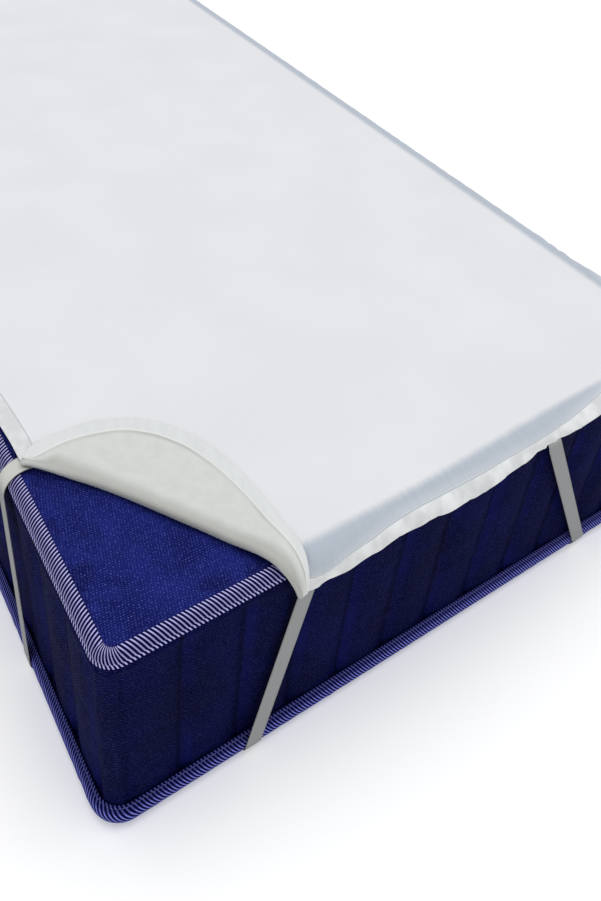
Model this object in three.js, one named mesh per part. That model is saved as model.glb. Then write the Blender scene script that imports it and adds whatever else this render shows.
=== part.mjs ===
// A waterproof mattress protector on the single mattress that it fits, in millimetres.
// X runs along the short front side, Y along the length, Z up. The origin is the middle of the footprint,
// on the surface that the mattress rests on.
// The protector is one sheet that lies on the top, turns over the edges and ends in a hem. The corner at
// (-X, -Y) is turned back on top along a soft fold. Elastic straps hold its four corners.
import * as THREE from 'three';

// Mattress
const WIDTH = 900;
const LENGTH = 2000;
const HEIGHT = 300;
const CORNER_R = 26; // corner seen from above
const TOP_R = 20; // round of the top edge
const BOTTOM_R = 10; // round of the bottom edge
const UNDER_RISE = 5; // how far the underside rises from its flat middle to its edge
const UNDER_MARGIN = 200; // width of that rising margin

// Binding tapes over the two edges
const TAPE_GAP = 0.5;
const TAPE_EDGE_T = 1.2; // thickness at a tape's two edges

// Protector sheet
const SHEET_T = 1.6;
const HEM_T = 2.8;
const HEM_W = 20;
const REST_GAP = 0.3; // between the hem and the mattress top
const DRAPE_R = 27.5; // round that the sheet makes over the top edge, from the same centre as TOP_R
const RAMP = 45; // stretch of the top over which the sheet lifts to that round
const FLARE = 8; // how far the edge of the hem stands out
const FLARE_DEPTH = 32; // the sheet stands out over this depth from its edge
const WAVE = 0.5; // share of the flare that comes and goes along the hem
const CUT = { left: 464, right: 480, front: 1037, back: 1045 }; // hem lines, flat, from the middle
// the front hem is shorter towards its right end: how much, from where, and over which length
const FRONT_RISES = [{ rise: 14, from: -230, over: 150 }, { rise: 12, from: 0, over: 150 }];
const LEFT_PULL = 35; // the hem is drawn in this much beside the turned corner
const LEFT_PULL_LENGTH = 420;
// round cut of the other corners: where it leaves the end hem and the side hem, from the mattress corner
const CORNER_CUT = { end: 285, side: 290, fullEnd: 0.58, fullSide: 0.62 };

// Turned corner: the fold runs from the left hem to the front hem
const FOLD_A = new THREE.Vector2(-428, -745);
const FOLD_B = new THREE.Vector2(-237, -1037);
const FOLD_BOW = 19; // the fold bows this much to the middle of the mattress
const FOLD_R = 6; // the fold is a soft roll
const FOLD_END_SHARE = 0.6; // it is tighter at its ends
const FLAP_CLEAR = 3.7; // middle of the flap above the middle of the layer below it
const FLAP_SETTLE = 55; // the flap settles over this length from the roll
// edge of the flap, as points that draw a curve: along the chord of the fold, and away from it
const FLAP_ARC = [[0, 0], [-26, 37], [69, 252], [347, 10]];

// Elastic straps
const STRAP_W = 21;
const STRAP_T = 1;
const STRAP_GAP = 0.6; // between a strap and the bottom tape that it bends over
const STRAP_HEM_LIFT = 4.8; // middle of the strap above the mattress, under the hem and over the top tape
const STRAP_DIP = 3.2; // how much lower a strap's tucked end lies on the mattress top
const STRAP_TUCK = 24; // length from its tucked end to the hem line
const STRAP_UNDER_Z = 0.9; // middle of the strap above the floor, under the mattress
// Where each strap leaves the end hem and the side hem and where it turns under, from the mattress corner.
// A top is the length along the mattress skin from the start of the top round to the tucked end.
const STRAPS = [
  {
    name: 'strap_near_left', x: -1, y: -1,
    end: 229, endUnder: 171, endTop: 28, side: 259, sideUnder: 215, sideTop: -12,
  },
  {
    name: 'strap_near_right', x: 1, y: -1,
    end: 321, endUnder: 173, endTop: 8, side: 280, sideUnder: 190, sideTop: 32,
  },
  {
    name: 'strap_far_left', x: -1, y: 1,
    end: 270, endUnder: 165, endTop: 40, side: 280, sideUnder: 190, sideTop: 18,
  },
  {
    name: 'strap_far_right', x: 1, y: 1,
    end: 270, endUnder: 165, endTop: 40, side: 280, sideUnder: 190, sideTop: 32,
  },
];

const smooth = (t) => THREE.MathUtils.smoothstep(t, 0, 1);
const rad = THREE.MathUtils.degToRad;

// One closed mesh from rows of points: each row is joined to the next, and the two ends are capped, or
// joined to each other where the section closes on itself.
function loft(rows, closed) {
  const positions = [];
  const index = [];
  const count = rows[0].length;
  rows.forEach((row) => row.forEach((p) => positions.push(p.x, p.y, p.z)));
  const bands = closed ? rows.length : rows.length - 1;
  for (let r = 0; r < bands; r += 1) {
    for (let c = 0; c < count; c += 1) {
      const a = r * count + c;
      const b = r * count + ((c + 1) % count);
      const d = ((r + 1) % rows.length) * count + c;
      const e = ((r + 1) % rows.length) * count + ((c + 1) % count);
      index.push(a, b, e, a, e, d);
    }
  }
  if (!closed) {
    const last = (rows.length - 1) * count;
    const flat = (row) => row.map((p) => new THREE.Vector2(p.x, p.y));
    THREE.ShapeUtils.triangulateShape(flat(rows[0]), []).forEach(([a, b, c]) => index.push(a, c, b));
    THREE.ShapeUtils.triangulateShape(flat(rows[rows.length - 1]), [])
      .forEach(([a, b, c]) => index.push(last + a, last + b, last + c));
  }
  const geometry = new THREE.BufferGeometry();
  geometry.setAttribute('position', new THREE.Float32BufferAttribute(positions, 3));
  geometry.setIndex(index);
  return geometry;
}

// The mattress outline seen from above, drawn in by inset, at height z, anticlockwise.
function outline(inset, z) {
  const steps = 8;
  const r = Math.max(CORNER_R - inset, 6);
  const cx = WIDTH / 2 - inset - r;
  const cy = LENGTH / 2 - inset - r;
  const centres = [[cx, cy], [-cx, cy], [-cx, -cy], [cx, -cy]];
  return centres.flatMap(([x, y], corner) => Array.from({ length: steps + 1 }, (_, i) => {
    const angle = rad(90 * (corner + i / steps));
    return new THREE.Vector3(x + r * Math.cos(angle), y + r * Math.sin(angle), z);
  }));
}

const underside = (inset) => UNDER_RISE * Math.max(0, 1 - inset / UNDER_MARGIN);
const lowCentre = UNDER_RISE + BOTTOM_R;
const TOP_ARC = (Math.PI / 2) * TOP_R;
const SIDE = HEIGHT - TOP_R - lowCentre;
const BOTTOM_ARC = (Math.PI / 2) * BOTTOM_R;
const sideEnd = TOP_ARC + SIDE;

// Each tape covers a sewn roll: where it starts and stops along the skin, how thick it is at the roll, and
// the power that brings the roll nearer to its start.
const TOP_TAPE = { from: 3, to: 21, roll: 3.2, power: 1 };
const BOTTOM_TAPE = { from: sideEnd - 17, to: sideEnd + BOTTOM_ARC - 1, roll: 11, power: 0.8 };

// The mattress skin in section, by the length q along it from the start of the top round.
// It gives the place out from the side plane and up, and the outward direction there.
function skin(q) {
  if (q < 0) return { out: -TOP_R + q, z: HEIGHT, nOut: 0, nZ: 1 };
  if (q < TOP_ARC) {
    const a = q / TOP_R;
    const z = HEIGHT - TOP_R * (1 - Math.cos(a));
    return { out: TOP_R * (Math.sin(a) - 1), z, nOut: Math.sin(a), nZ: Math.cos(a) };
  }
  if (q < TOP_ARC + SIDE) return { out: 0, z: HEIGHT - TOP_R - (q - TOP_ARC), nOut: 1, nZ: 0 };
  const a = Math.min((q - TOP_ARC - SIDE) / BOTTOM_R, Math.PI / 2);
  const beyond = Math.max(0, q - TOP_ARC - SIDE - BOTTOM_ARC);
  const inset = BOTTOM_R * (1 - Math.cos(a)) + beyond;
  const z = beyond > 0 ? underside(inset) : lowCentre - BOTTOM_R * Math.sin(a);
  return { out: -inset, z, nOut: Math.cos(a), nZ: -Math.sin(a) };
}

function mattress() {
  const rows = [];
  for (const inset of [200, 150, 110, 75, 45]) rows.push(outline(inset, underside(inset)));
  for (const a of [90, 68, 45, 22, 0]) {
    const q = TOP_ARC + SIDE + BOTTOM_R * rad(a);
    rows.push(outline(-skin(q - 0.001).out, skin(q - 0.001).z));
  }
  for (const a of [90, 68, 45, 22, 0]) {
    const s = skin(TOP_R * rad(a) - (a === 90 ? 0.001 : 0));
    rows.push(outline(-s.out, s.z));
  }
  return loft(rows, false);
}

// How far the outside of a tape stands off the skin.
function tapeLift(t, q) {
  const share = THREE.MathUtils.clamp((q - t.from) / (t.to - t.from), 0, 1);
  return TAPE_GAP + TAPE_EDGE_T + (t.roll - TAPE_EDGE_T) * Math.sin(Math.PI * share ** t.power);
}

function tape(t) {
  const steps = 8;
  const at = (i, lift) => {
    const s = skin(THREE.MathUtils.lerp(t.from, t.to, i / steps));
    return outline(-s.out - s.nOut * lift, s.z + s.nZ * lift);
  };
  const section = [];
  for (let i = 0; i <= steps; i += 1) section.push(at(i, TAPE_GAP));
  for (let i = steps; i >= 0; i -= 1) {
    const q = THREE.MathUtils.lerp(t.from, t.to, i / steps);
    section.push(at(i, tapeLift(t, q)));
  }
  return loft(section, true);
}

// The sheet, lying flat, is measured from the middle of the mattress. Its lines are followed by where they
// lie from the line on the top where the sheet starts to turn over the edge.
const turnX = WIDTH / 2 - TOP_R;
const turnY = LENGTH / 2 - TOP_R;
const turnCorner = CORNER_R - TOP_R;
const DRAPE_ARC = (Math.PI / 2) * DRAPE_R;

function fromTurn(u, v) {
  const cx = THREE.MathUtils.clamp(u, -(turnX - turnCorner), turnX - turnCorner);
  const cy = THREE.MathUtils.clamp(v, -(turnY - turnCorner), turnY - turnCorner);
  const away = new THREE.Vector2(u - cx, v - cy);
  if (away.length() < 1e-9) {
    const dx = turnX - Math.abs(u);
    const dy = turnY - Math.abs(v);
    return { q: -Math.min(dx, dy), foot: new THREE.Vector2(u, v), out: new THREE.Vector2(0, 0) };
  }
  const q = away.length() - turnCorner;
  const out = away.clone().normalize();
  return { q, foot: new THREE.Vector2(cx, cy).addScaledVector(out, turnCorner), out };
}

// How far the hem stands out at a place on the edge: waves of uneven length, calm where a strap holds it
// in, and slight where the hem lies on the top.
function hemFlare(p, along) {
  const wave = Math.sin(along / 27) * 0.6 + Math.sin(along / 43 + 1.3) * 0.4;
  let hold = 1;
  for (const s of STRAPS) {
    const end = Math.hypot(p.x - s.x * (WIDTH / 2 - s.end), p.y - s.y * CUT.front);
    const side = Math.hypot(p.x - s.x * CUT.right, p.y - s.y * (LENGTH / 2 - s.side));
    hold *= (1 - Math.exp(-((end / 48) ** 2))) * (1 - Math.exp(-((side / 48) ** 2)));
  }
  const hanging = 0.2 + 0.8 * smooth(fromTurn(p.x, p.y).q / DRAPE_ARC);
  return FLARE * hold * hanging * (1 - WAVE + WAVE * wave);
}

// Where a point of the flat sheet comes to lie: the middle of its thickness.
function drape(u, v) {
  const { q, foot, out } = fromTurn(u, v);
  const rest = HEIGHT + REST_GAP + HEM_T / 2;
  const top = HEIGHT - TOP_R + DRAPE_R;
  if (q <= 0) return new THREE.Vector3(u, v, rest + (top - rest) * smooth(1 + q / RAMP));
  const a = Math.min(q / DRAPE_R, Math.PI / 2);
  const reach = DRAPE_R * Math.sin(a);
  const z = HEIGHT - TOP_R + DRAPE_R * Math.cos(a) - Math.max(0, q - DRAPE_ARC);
  return new THREE.Vector3(foot.x + out.x * reach, foot.y + out.y * reach, z);
}

function drapeNormal(u, v) {
  const step = 0.5;
  const alongU = drape(u + step, v).sub(drape(u - step, v));
  const alongV = drape(u, v + step).sub(drape(u, v - step));
  return alongU.cross(alongV).normalize();
}

const foldChord = FOLD_B.clone().sub(FOLD_A);
const foldLength = foldChord.length();
const foldAlong = foldChord.clone().normalize();
const foldAway = new THREE.Vector2(-foldAlong.y, foldAlong.x); // from the mattress corner to the middle
const onChord = (s, away) => FOLD_A.clone().addScaledVector(foldAlong, s).addScaledVector(foldAway, away);
const bow = (s) => FOLD_BOW * (1 - Math.abs((2 * s) / foldLength - 1) ** 3);
function rollRadius(s) {
  const middle = Math.sin((Math.PI * s) / foldLength);
  return FOLD_R * (FOLD_END_SHARE + (1 - FOLD_END_SHARE) * middle);
}

// A point on the roll of the fold, turned by the angle a from the layer below.
function roll(s, a) {
  const at = onChord(s, bow(s));
  const base = drape(at.x, at.y);
  const past = onChord(s, bow(s) - 1);
  const toCorner = drape(past.x, past.y).sub(base).normalize();
  const r = rollRadius(s);
  const up = drapeNormal(at.x, at.y);
  return base.addScaledVector(up, r * (1 - Math.cos(a))).addScaledVector(toCorner, r * Math.sin(a));
}

// A point on the flap, over the layer below, where share goes from the roll at s to the edge of the flap.
function flapPoint(s, edge, share) {
  const chord = THREE.MathUtils.lerp(s, edge.x, share);
  const away = THREE.MathUtils.lerp(bow(s), edge.y, share);
  const at = onChord(chord, away);
  const settled = smooth((away - bow(s)) / FLAP_SETTLE);
  const height = THREE.MathUtils.lerp(2 * rollRadius(s), FLAP_CLEAR, settled);
  return drape(at.x, at.y).addScaledVector(drapeNormal(at.x, at.y), height);
}

const flapEdge = new THREE.CubicBezierCurve(...FLAP_ARC.map(([s, away]) => new THREE.Vector2(s, away)));

// The left hem line, drawn in beside the turned corner.
const leftHem = (v) => -CUT.left + LEFT_PULL * (1 - smooth((v - FOLD_A.y) / LEFT_PULL_LENGTH));

// The front hem line.
function frontHem(u) {
  return FRONT_RISES.reduce((v, { rise, from, over }) => v + rise * smooth((u - from) / over), -CUT.front);
}

// The rounded cut at a corner, from the end hem to the side hem.
function cornerCut(x, y, sideAt) {
  const endAt = y < 0 ? -frontHem(WIDTH / 2 - CORNER_CUT.end) : CUT.back;
  const start = new THREE.Vector2(x * (WIDTH / 2 - CORNER_CUT.end), y * endAt);
  const stop = new THREE.Vector2(x * sideAt, y * (LENGTH / 2 - CORNER_CUT.side));
  const corner = new THREE.Vector2(stop.x, start.y);
  return new THREE.CubicBezierCurve(
    start,
    start.clone().lerp(corner, CORNER_CUT.fullEnd),
    stop.clone().lerp(corner, CORNER_CUT.fullSide),
    stop,
  );
}

// The edge of the lying part of the sheet, anticlockwise from the front end of the fold round to its left
// end, and then along the fold back to the front.
function sheetEdge() {
  const edge = [];
  const run = (from, to, steps, hem = (p) => p) => {
    for (let i = 0; i < steps; i += 1) edge.push({ p: hem(from.clone().lerp(to, i / steps)), fold: false });
  };
  const bend = (curve, steps) => {
    for (let i = 0; i < steps; i += 1) edge.push({ p: curve.getPoint(i / steps), fold: false });
  };
  const reversed = (c) => new THREE.CubicBezierCurve(c.v3, c.v2, c.v1, c.v0);
  const nearRight = cornerCut(1, -1, CUT.right);
  const farRight = reversed(cornerCut(1, 1, CUT.right));
  const farLeft = cornerCut(-1, 1, CUT.left);
  run(FOLD_B, nearRight.v0, 12, (p) => new THREE.Vector2(p.x, frontHem(p.x)));
  bend(nearRight, 26);
  run(nearRight.v3, farRight.v0, 24);
  bend(farRight, 26);
  run(farRight.v3, farLeft.v0, 11);
  bend(farLeft, 26);
  run(farLeft.v3, FOLD_A, 24, (p) => new THREE.Vector2(leftHem(p.y), p.y));
  for (const s of foldStations.slice(0, -1)) edge.push({ p: onChord(s, bow(s)), fold: true });
  return edge;
}

// Stations along the fold. They crowd together towards its front end, where it turns over the edge.
const FOLD_STEPS = 28;
const CROWDING = 1.7;
const station = (i) => foldLength * (1 - (1 - i / FOLD_STEPS) ** CROWDING);
const foldStations = Array.from({ length: FOLD_STEPS + 1 }, (_, i) => station(i));
const CORE = { x: 100, y: 650, r: 150 }; // rounded rectangle on the top where the rings of points end
const RINGS = [DRAPE_ARC, 32, 21, 10, 0, -RAMP * 0.45, -RAMP]; // lengths from the turn line
const RING_STEP = 7;
const ROLL_STEPS = 5;
const FLAP_STEPS = 8;

// The sheet as one surface of points and triangles through the middle of its thickness.
function sheetSurface() {
  const points = [];
  const thickness = [];
  const faces = [];
  const add = (p, t) => {
    points.push(p);
    thickness.push(t);
    return points.length - 1;
  };
  const quad = (a, b, c, d) => {
    if (a !== b && b !== c && a !== c) faces.push([a, b, c]);
    if (a !== c && c !== d && a !== d) faces.push([a, c, d]);
  };
  const edge = sheetEdge();
  let along = 0;
  const lines = edge.map(({ p, fold }, i) => {
    along += p.distanceTo(edge[Math.max(0, i - 1)].p);
    const flare = fold ? 0 : hemFlare(p, along);
    const centre = new THREE.Vector2(
      THREE.MathUtils.clamp(p.x, -CORE.x, CORE.x),
      THREE.MathUtils.clamp(p.y, -CORE.y, CORE.y),
    );
    const inward = centre.clone().sub(p);
    const reach = inward.length() - CORE.r;
    inward.normalize();
    const at = (d) => p.clone().addScaledVector(inward, d);
    // the length inwards where the line crosses the ring at q from the turn line
    const crossing = (q) => {
      let near = 0;
      let far = reach;
      if (fromTurn(p.x, p.y).q <= q) return 0;
      for (let i = 0; i < 40; i += 1) {
        const middle = (near + far) / 2;
        const m = at(middle);
        if (fromTurn(m.x, m.y).q > q) near = middle;
        else far = middle;
      }
      return far;
    };
    const lengths = fold ? [0, RING_STEP, 2 * RING_STEP] : [0, HEM_W / 2, HEM_W];
    for (const q of RINGS) lengths.push(Math.max(crossing(q), lengths[lengths.length - 1] + RING_STEP));
    lengths.push(reach);
    return lengths.map((d, k) => {
      const m = at(d);
      const out = drapeNormal(m.x, m.y).multiplyScalar(flare * (1 - smooth(d / FLARE_DEPTH)));
      return add(drape(m.x, m.y).add(out), k < 2 && !fold ? HEM_T : SHEET_T);
    });
  });
  lines.forEach((line, i) => {
    const next = lines[(i + 1) % lines.length];
    for (let k = 0; k + 1 < line.length; k += 1) quad(line[k], next[k], next[k + 1], line[k + 1]);
  });
  const inner = lines.map((line) => line[line.length - 1]);
  const flat = inner.map((i) => new THREE.Vector2(points[i].x, points[i].y));
  THREE.ShapeUtils.triangulateShape(flat, []).forEach((f) => faces.push(f.map((k) => inner[k])));

  // the flap grows from the points on the fold
  const foldPoints = lines.slice(lines.length - FOLD_STEPS).map((line) => line[0]);
  foldPoints.push(lines[0][0]);
  const rows = foldPoints.map((start, i) => {
    const s = foldStations[i];
    const row = [start];
    for (let k = 1; k <= ROLL_STEPS; k += 1) row.push(add(roll(s, (Math.PI * k) / ROLL_STEPS), SHEET_T));
    const arc = flapEdge.getPoint(s / foldLength);
    const hem = Math.min(HEM_W / Math.max(arc.y - bow(s), 1), 0.5);
    const shares = Array.from({ length: FLAP_STEPS }, (_, k) => ((k + 1) / FLAP_STEPS) * (1 - hem));
    shares.push(1 - hem / 2, 1);
    shares.forEach((share, k) => {
      if (i === 0) row.push(row[ROLL_STEPS]);
      else row.push(add(flapPoint(s, arc, share), k >= FLAP_STEPS ? HEM_T : SHEET_T));
    });
    return row;
  });
  for (let i = 0; i + 1 < rows.length; i += 1) {
    const row = rows[i];
    const next = rows[i + 1];
    for (let k = 0; k + 1 < row.length; k += 1) quad(row[k + 1], next[k + 1], next[k], row[k]);
  }
  return { points, thickness, faces };
}

// A closed solid from a surface: one skin on each side and a rim along its free edges.
function thicken({ points, thickness, faces }) {
  const normals = points.map(() => new THREE.Vector3());
  const used = new Map();
  for (const [a, b, c] of faces) {
    const face = points[b].clone().sub(points[a]).cross(points[c].clone().sub(points[a]));
    for (const i of [a, b, c]) normals[i].add(face);
    for (const [i, j] of [[a, b], [b, c], [c, a]]) used.set(`${i},${j}`, [i, j]);
  }
  normals.forEach((n) => n.normalize());
  const positions = [];
  for (const side of [0.5, -0.5]) {
    points.forEach((p, i) => {
      positions.push(...p.clone().addScaledVector(normals[i], side * thickness[i]).toArray());
    });
  }
  const count = points.length;
  const index = [];
  for (const [a, b, c] of faces) index.push(a, b, c, count + a, count + c, count + b);
  for (const [i, j] of used.values()) {
    if (!used.has(`${j},${i}`)) index.push(j, i, count + i, j, count + i, count + j);
  }
  const geometry = new THREE.BufferGeometry();
  geometry.setAttribute('position', new THREE.Float32BufferAttribute(positions, 3));
  geometry.setIndex(index);
  return geometry;
}

// A strap's route: out of the hem, taut from there to the roll of the bottom tape, round that roll and
// slantwise under the corner, and up the other side.
function strapRoute(strap) {
  const peak = BOTTOM_TAPE.from + 0.5 ** (1 / BOTTOM_TAPE.power) * (BOTTOM_TAPE.to - BOTTOM_TAPE.from);
  const offRoll = (q) => {
    const outside = (at) => {
      const s = skin(at);
      const lift = tapeLift(BOTTOM_TAPE, at);
      return new THREE.Vector2(s.out + s.nOut * lift, s.z + s.nZ * lift);
    };
    const along = outside(q + 0.5).sub(outside(q - 0.5)).normalize();
    const n = new THREE.Vector2(-along.y, along.x);
    return { p: outside(q).addScaledVector(n, STRAP_GAP + STRAP_T / 2), n };
  };
  const offSkin = (q) => {
    const s = skin(q);
    const lift = STRAP_HEM_LIFT - STRAP_DIP * smooth(-q / 14);
    const n = new THREE.Vector2(s.nOut, s.nZ);
    return { p: new THREE.Vector2(s.out, s.z).addScaledVector(n, lift), n };
  };
  // the section of one leg, from its tucked end down to the floor: [length along the skin, place, normal]
  const leg = (top, from, to, place) => {
    const hem = Math.max(top + STRAP_TUCK, TOP_ARC + 4);
    const points = [];
    for (let q = top; q < hem; q += 4) points.push([q, offSkin(q)]);
    points.push([hem, offSkin(hem)]);
    for (let q = peak; q < BOTTOM_TAPE.to; q += 2.5) {
      const onRoll = offRoll(q);
      if (onRoll.p.y > STRAP_UNDER_Z) points.push([q, onRoll]);
    }
    const inward = points[points.length - 1][1].p.x - 5;
    points.push([sideEnd, { p: new THREE.Vector2(inward, STRAP_UNDER_Z), n: new THREE.Vector2(0, -1) }]);
    return points.map(([q, { p, n }]) => {
      const along = THREE.MathUtils.lerp(from, to, Math.min(1, (q - top) / (peak - top)));
      return place(along, p, n);
    });
  };
  const { x, y } = strap;
  const endLeg = leg(strap.endTop, strap.end, strap.endUnder, (along, p, n) => ({
    p: new THREE.Vector3(x * (WIDTH / 2 - along), y * (LENGTH / 2 + p.x), p.y),
    n: new THREE.Vector3(0, y * n.x, n.y),
  }));
  const sideLeg = leg(strap.sideTop, strap.side, strap.sideUnder, (along, p, n) => ({
    p: new THREE.Vector3(x * (WIDTH / 2 + p.x), y * (LENGTH / 2 - along), p.y),
    n: new THREE.Vector3(x * n.x, 0, n.y),
  }));
  const from = endLeg[endLeg.length - 1].p;
  const to = sideLeg[sideLeg.length - 1].p;
  const under = [];
  const steps = 8;
  const down = new THREE.Vector3(0, 0, -1);
  for (let i = 1; i < steps; i += 1) under.push({ p: from.clone().lerp(to, i / steps), n: down });
  return [...endLeg, ...under, ...sideLeg.reverse()];
}

// A flat band along a route, its wide side against the skin.
function band(route) {
  const rows = route.map(({ p, n }, i) => {
    const before = route[Math.max(0, i - 1)].p;
    const after = route[Math.min(route.length - 1, i + 1)].p;
    const across = new THREE.Vector3().crossVectors(n, after.clone().sub(before)).normalize();
    const corner = (w, t) => {
      return p.clone().addScaledVector(across, (w * STRAP_W) / 2).addScaledVector(n, (t * STRAP_T) / 2);
    };
    return [corner(-1, -1), corner(1, -1), corner(1, 1), corner(-1, 1)];
  });
  const positions = rows.flat().flatMap((p) => p.toArray());
  const index = [];
  for (let r = 0; r + 1 < rows.length; r += 1) {
    for (let c = 0; c < 4; c += 1) {
      const a = r * 4 + c;
      const b = r * 4 + ((c + 1) % 4);
      index.push(a, b, b + 4, a, b + 4, a + 4);
    }
  }
  const last = (rows.length - 1) * 4;
  index.push(0, 2, 1, 0, 3, 2, last, last + 1, last + 2, last, last + 2, last + 3);
  const geometry = new THREE.BufferGeometry();
  geometry.setAttribute('position', new THREE.Float32BufferAttribute(positions, 3));
  geometry.setIndex(index);
  return geometry;
}

function piece(name, geometry, color, roughness) {
  const mesh = new THREE.Mesh(geometry, new THREE.MeshStandardMaterial({ color, roughness, metalness: 0 }));
  mesh.name = name;
  return mesh;
}

const model = new THREE.Group();
model.add(piece('mattress', mattress(), 0x1b1c55, 0.9));
model.add(piece('tape_top', tape(TOP_TAPE), 0x8d8fa6, 0.8));
model.add(piece('tape_bottom', tape(BOTTOM_TAPE), 0x8d8fa6, 0.8));
model.add(piece('protector_sheet', thicken(sheetSurface()), 0xe4e8ea, 0.8));
for (const strap of STRAPS) model.add(piece(strap.name, band(strapRoute(strap)), 0xc9c7bd, 0.85));
export default model;
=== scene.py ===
# %% [markdown]
# # A waterproof mattress protector on a mattress
# The object is a white protector sheet with elastic corner straps, on the plain blue mattress that it
# fits. One corner of the sheet is turned back on top, so its smooth waterproof underside shows.
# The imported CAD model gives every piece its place. This file makes the pieces again with all their
# detail: the quilted mattress, two striped binding tapes, the hemmed sheet, four straps and the sewing.

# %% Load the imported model
import math

import bmesh
import bpy
from mathutils import Matrix, Vector, noise
from mathutils.geometry import delaunay_2d_cdt


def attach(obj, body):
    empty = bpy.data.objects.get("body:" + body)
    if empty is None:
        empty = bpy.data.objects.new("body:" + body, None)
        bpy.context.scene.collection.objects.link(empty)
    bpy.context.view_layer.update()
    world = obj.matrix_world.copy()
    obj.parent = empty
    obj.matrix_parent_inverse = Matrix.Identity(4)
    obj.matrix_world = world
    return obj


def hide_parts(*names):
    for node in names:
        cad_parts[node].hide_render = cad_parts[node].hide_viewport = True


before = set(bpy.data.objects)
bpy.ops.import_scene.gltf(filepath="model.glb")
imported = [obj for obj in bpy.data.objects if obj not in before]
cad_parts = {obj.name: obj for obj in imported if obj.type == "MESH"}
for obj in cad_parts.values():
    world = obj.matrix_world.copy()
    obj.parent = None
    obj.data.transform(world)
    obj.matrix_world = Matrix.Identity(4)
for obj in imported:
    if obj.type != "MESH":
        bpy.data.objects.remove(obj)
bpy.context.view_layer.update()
MM = 0.001
print("loaded", sorted(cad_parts))

# %% [markdown]
# ## The camera
# The photograph looks down on the near corner from about a metre above the floor. Its edges run
# together towards the far end, so the lens is close to a normal one. A shift lowers the frame, as a
# shift lens does, because the middle of the perspective lies above the middle of the picture.

# %% Make the camera
IMAGE_LONG = 901
FOCAL_PX = 866.294
MIDDLE_ROW = 240
camera_data = bpy.data.cameras.new("camera")
camera = bpy.data.objects.new("camera", camera_data)
bpy.context.scene.collection.objects.link(camera)
bpy.context.scene.camera = camera
camera_data.sensor_width = 36
camera_data.lens = FOCAL_PX * camera_data.sensor_width / IMAGE_LONG
camera_data.shift_y = -(IMAGE_LONG / 2 - MIDDLE_ROW) / IMAGE_LONG
CAMERA_PLACE = Vector((-0.58481, -1.40573, 1.05654))
right = Vector((0.8291, -0.5523, 0.0871)).normalized()
forward = Vector((0.4991, 0.6607, -0.5607)).normalized()
above = right.cross(forward).normalized()
right = forward.cross(above)
turned = Matrix((right, above, -forward)).transposed()
camera.matrix_world = Matrix.Translation(CAMERA_PLACE) @ turned.to_4x4()
print("camera at", CAMERA_PLACE[:], "lens", round(camera_data.lens, 2), "mm")

# %% [markdown]
# ## Writing shader maths as sums
# A pattern such as a weave is a sum of waves over the surface. In the shader editor each plus or times
# is a node. Here one small class wraps a socket and gives it Python's operators, so a pattern reads as
# a formula. Any other node comes from one method, which sets it up first and then joins its sockets.


# %% Give sockets their operators
class Value:
    """A number in a material, which can be used in sums."""

    def __init__(self, finish, socket):
        self.finish = finish
        self.socket = socket

    def maths(self, operation, *others):
        inputs = dict(enumerate((self, *others)))
        return self.finish.node("ShaderNodeMath", {"operation": operation}, inputs)

    def __add__(self, other):
        return self.maths("ADD", other)

    __radd__ = __add__

    def __sub__(self, other):
        return self.maths("SUBTRACT", other)

    def __rsub__(self, other):
        return self.maths("MULTIPLY", -1.0).maths("ADD", other)

    def __mul__(self, other):
        return self.maths("MULTIPLY", other)

    __rmul__ = __mul__

    def __truediv__(self, other):
        return self.maths("DIVIDE", other)

    def sine(self):
        return self.maths("SINE")

    def rise(self, low, high):
        """0 below low and 1 above high, with a soft step between them."""
        settings = {"interpolation_type": "SMOOTHSTEP"}
        ends = {"Value": self, "From Min": low, "From Max": high}
        return self.finish.node("ShaderNodeMapRange", settings, ends)

    def bump_from(self, low, high, far_low, far_high):
        """1 between high and far_low, and soft on both sides."""
        return self.rise(low, high) * (1 - self.rise(far_low, far_high))


print("sums of sockets ready")


# %% Add nodes through one class
class Finish:
    """A material with a short way to add its nodes."""

    def __init__(self, name):
        self.material = bpy.data.materials.new(name)
        self.material.use_nodes = True
        self.tree = self.material.node_tree
        self.shader = self.tree.nodes["Principled BSDF"]

    def node(self, kind, settings=None, inputs=None, output=0):
        made = self.tree.nodes.new(kind)
        for name, value in (settings or {}).items():
            setattr(made, name, value)
        for name, value in (inputs or {}).items():
            self.join(made.inputs[name], value)
        return Value(self, made.outputs[output])

    def join(self, socket, value):
        if isinstance(value, Value):
            self.tree.links.new(value.socket, socket)
        else:
            socket.default_value = value

    def set(self, **plain):
        """Values that are the same all over the surface."""
        for name, value in plain.items():
            self.shader.inputs[name.replace("_", " ")].default_value = value

    def feed(self, name, value):
        self.join(self.shader.inputs[name], value)

    def split(self, vector):
        made = self.tree.nodes.new("ShaderNodeSeparateXYZ")
        self.join(made.inputs[0], vector)
        return [Value(self, made.outputs[i]) for i in range(3)]

    def place(self):
        return self.node("ShaderNodeTexCoord", output=3)

    def chart(self, name):
        return self.node("ShaderNodeUVMap", {"uv_map": name})

    def vector(self, x, y, z=0.0):
        return self.node("ShaderNodeCombineXYZ", None, {0: x, 1: y, 2: z})

    def cloud(self, vector, scale, detail=2.0, roughness=0.5):
        inputs = {"Vector": vector, "Scale": scale, "Detail": detail, "Roughness": roughness}
        return self.node("ShaderNodeTexNoise", None, inputs)

    def blend(self, factor, first, second):
        """The first colour where factor is 0, and the second where it is 1."""
        settings = {"data_type": "RGBA"}
        return self.node("ShaderNodeMix", settings, {0: factor, 6: first, 7: second}, output=2)

    def emboss(self, height, distance, strength=1.0, under=None):
        inputs = {"Height": height, "Distance": distance, "Strength": strength}
        if under is not None:
            inputs["Normal"] = under
        return self.node("ShaderNodeBump", None, inputs)


def rgb(red, green, blue):
    return (red, green, blue, 1.0)


TURN = 2 * math.pi
print("materials class ready")

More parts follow.
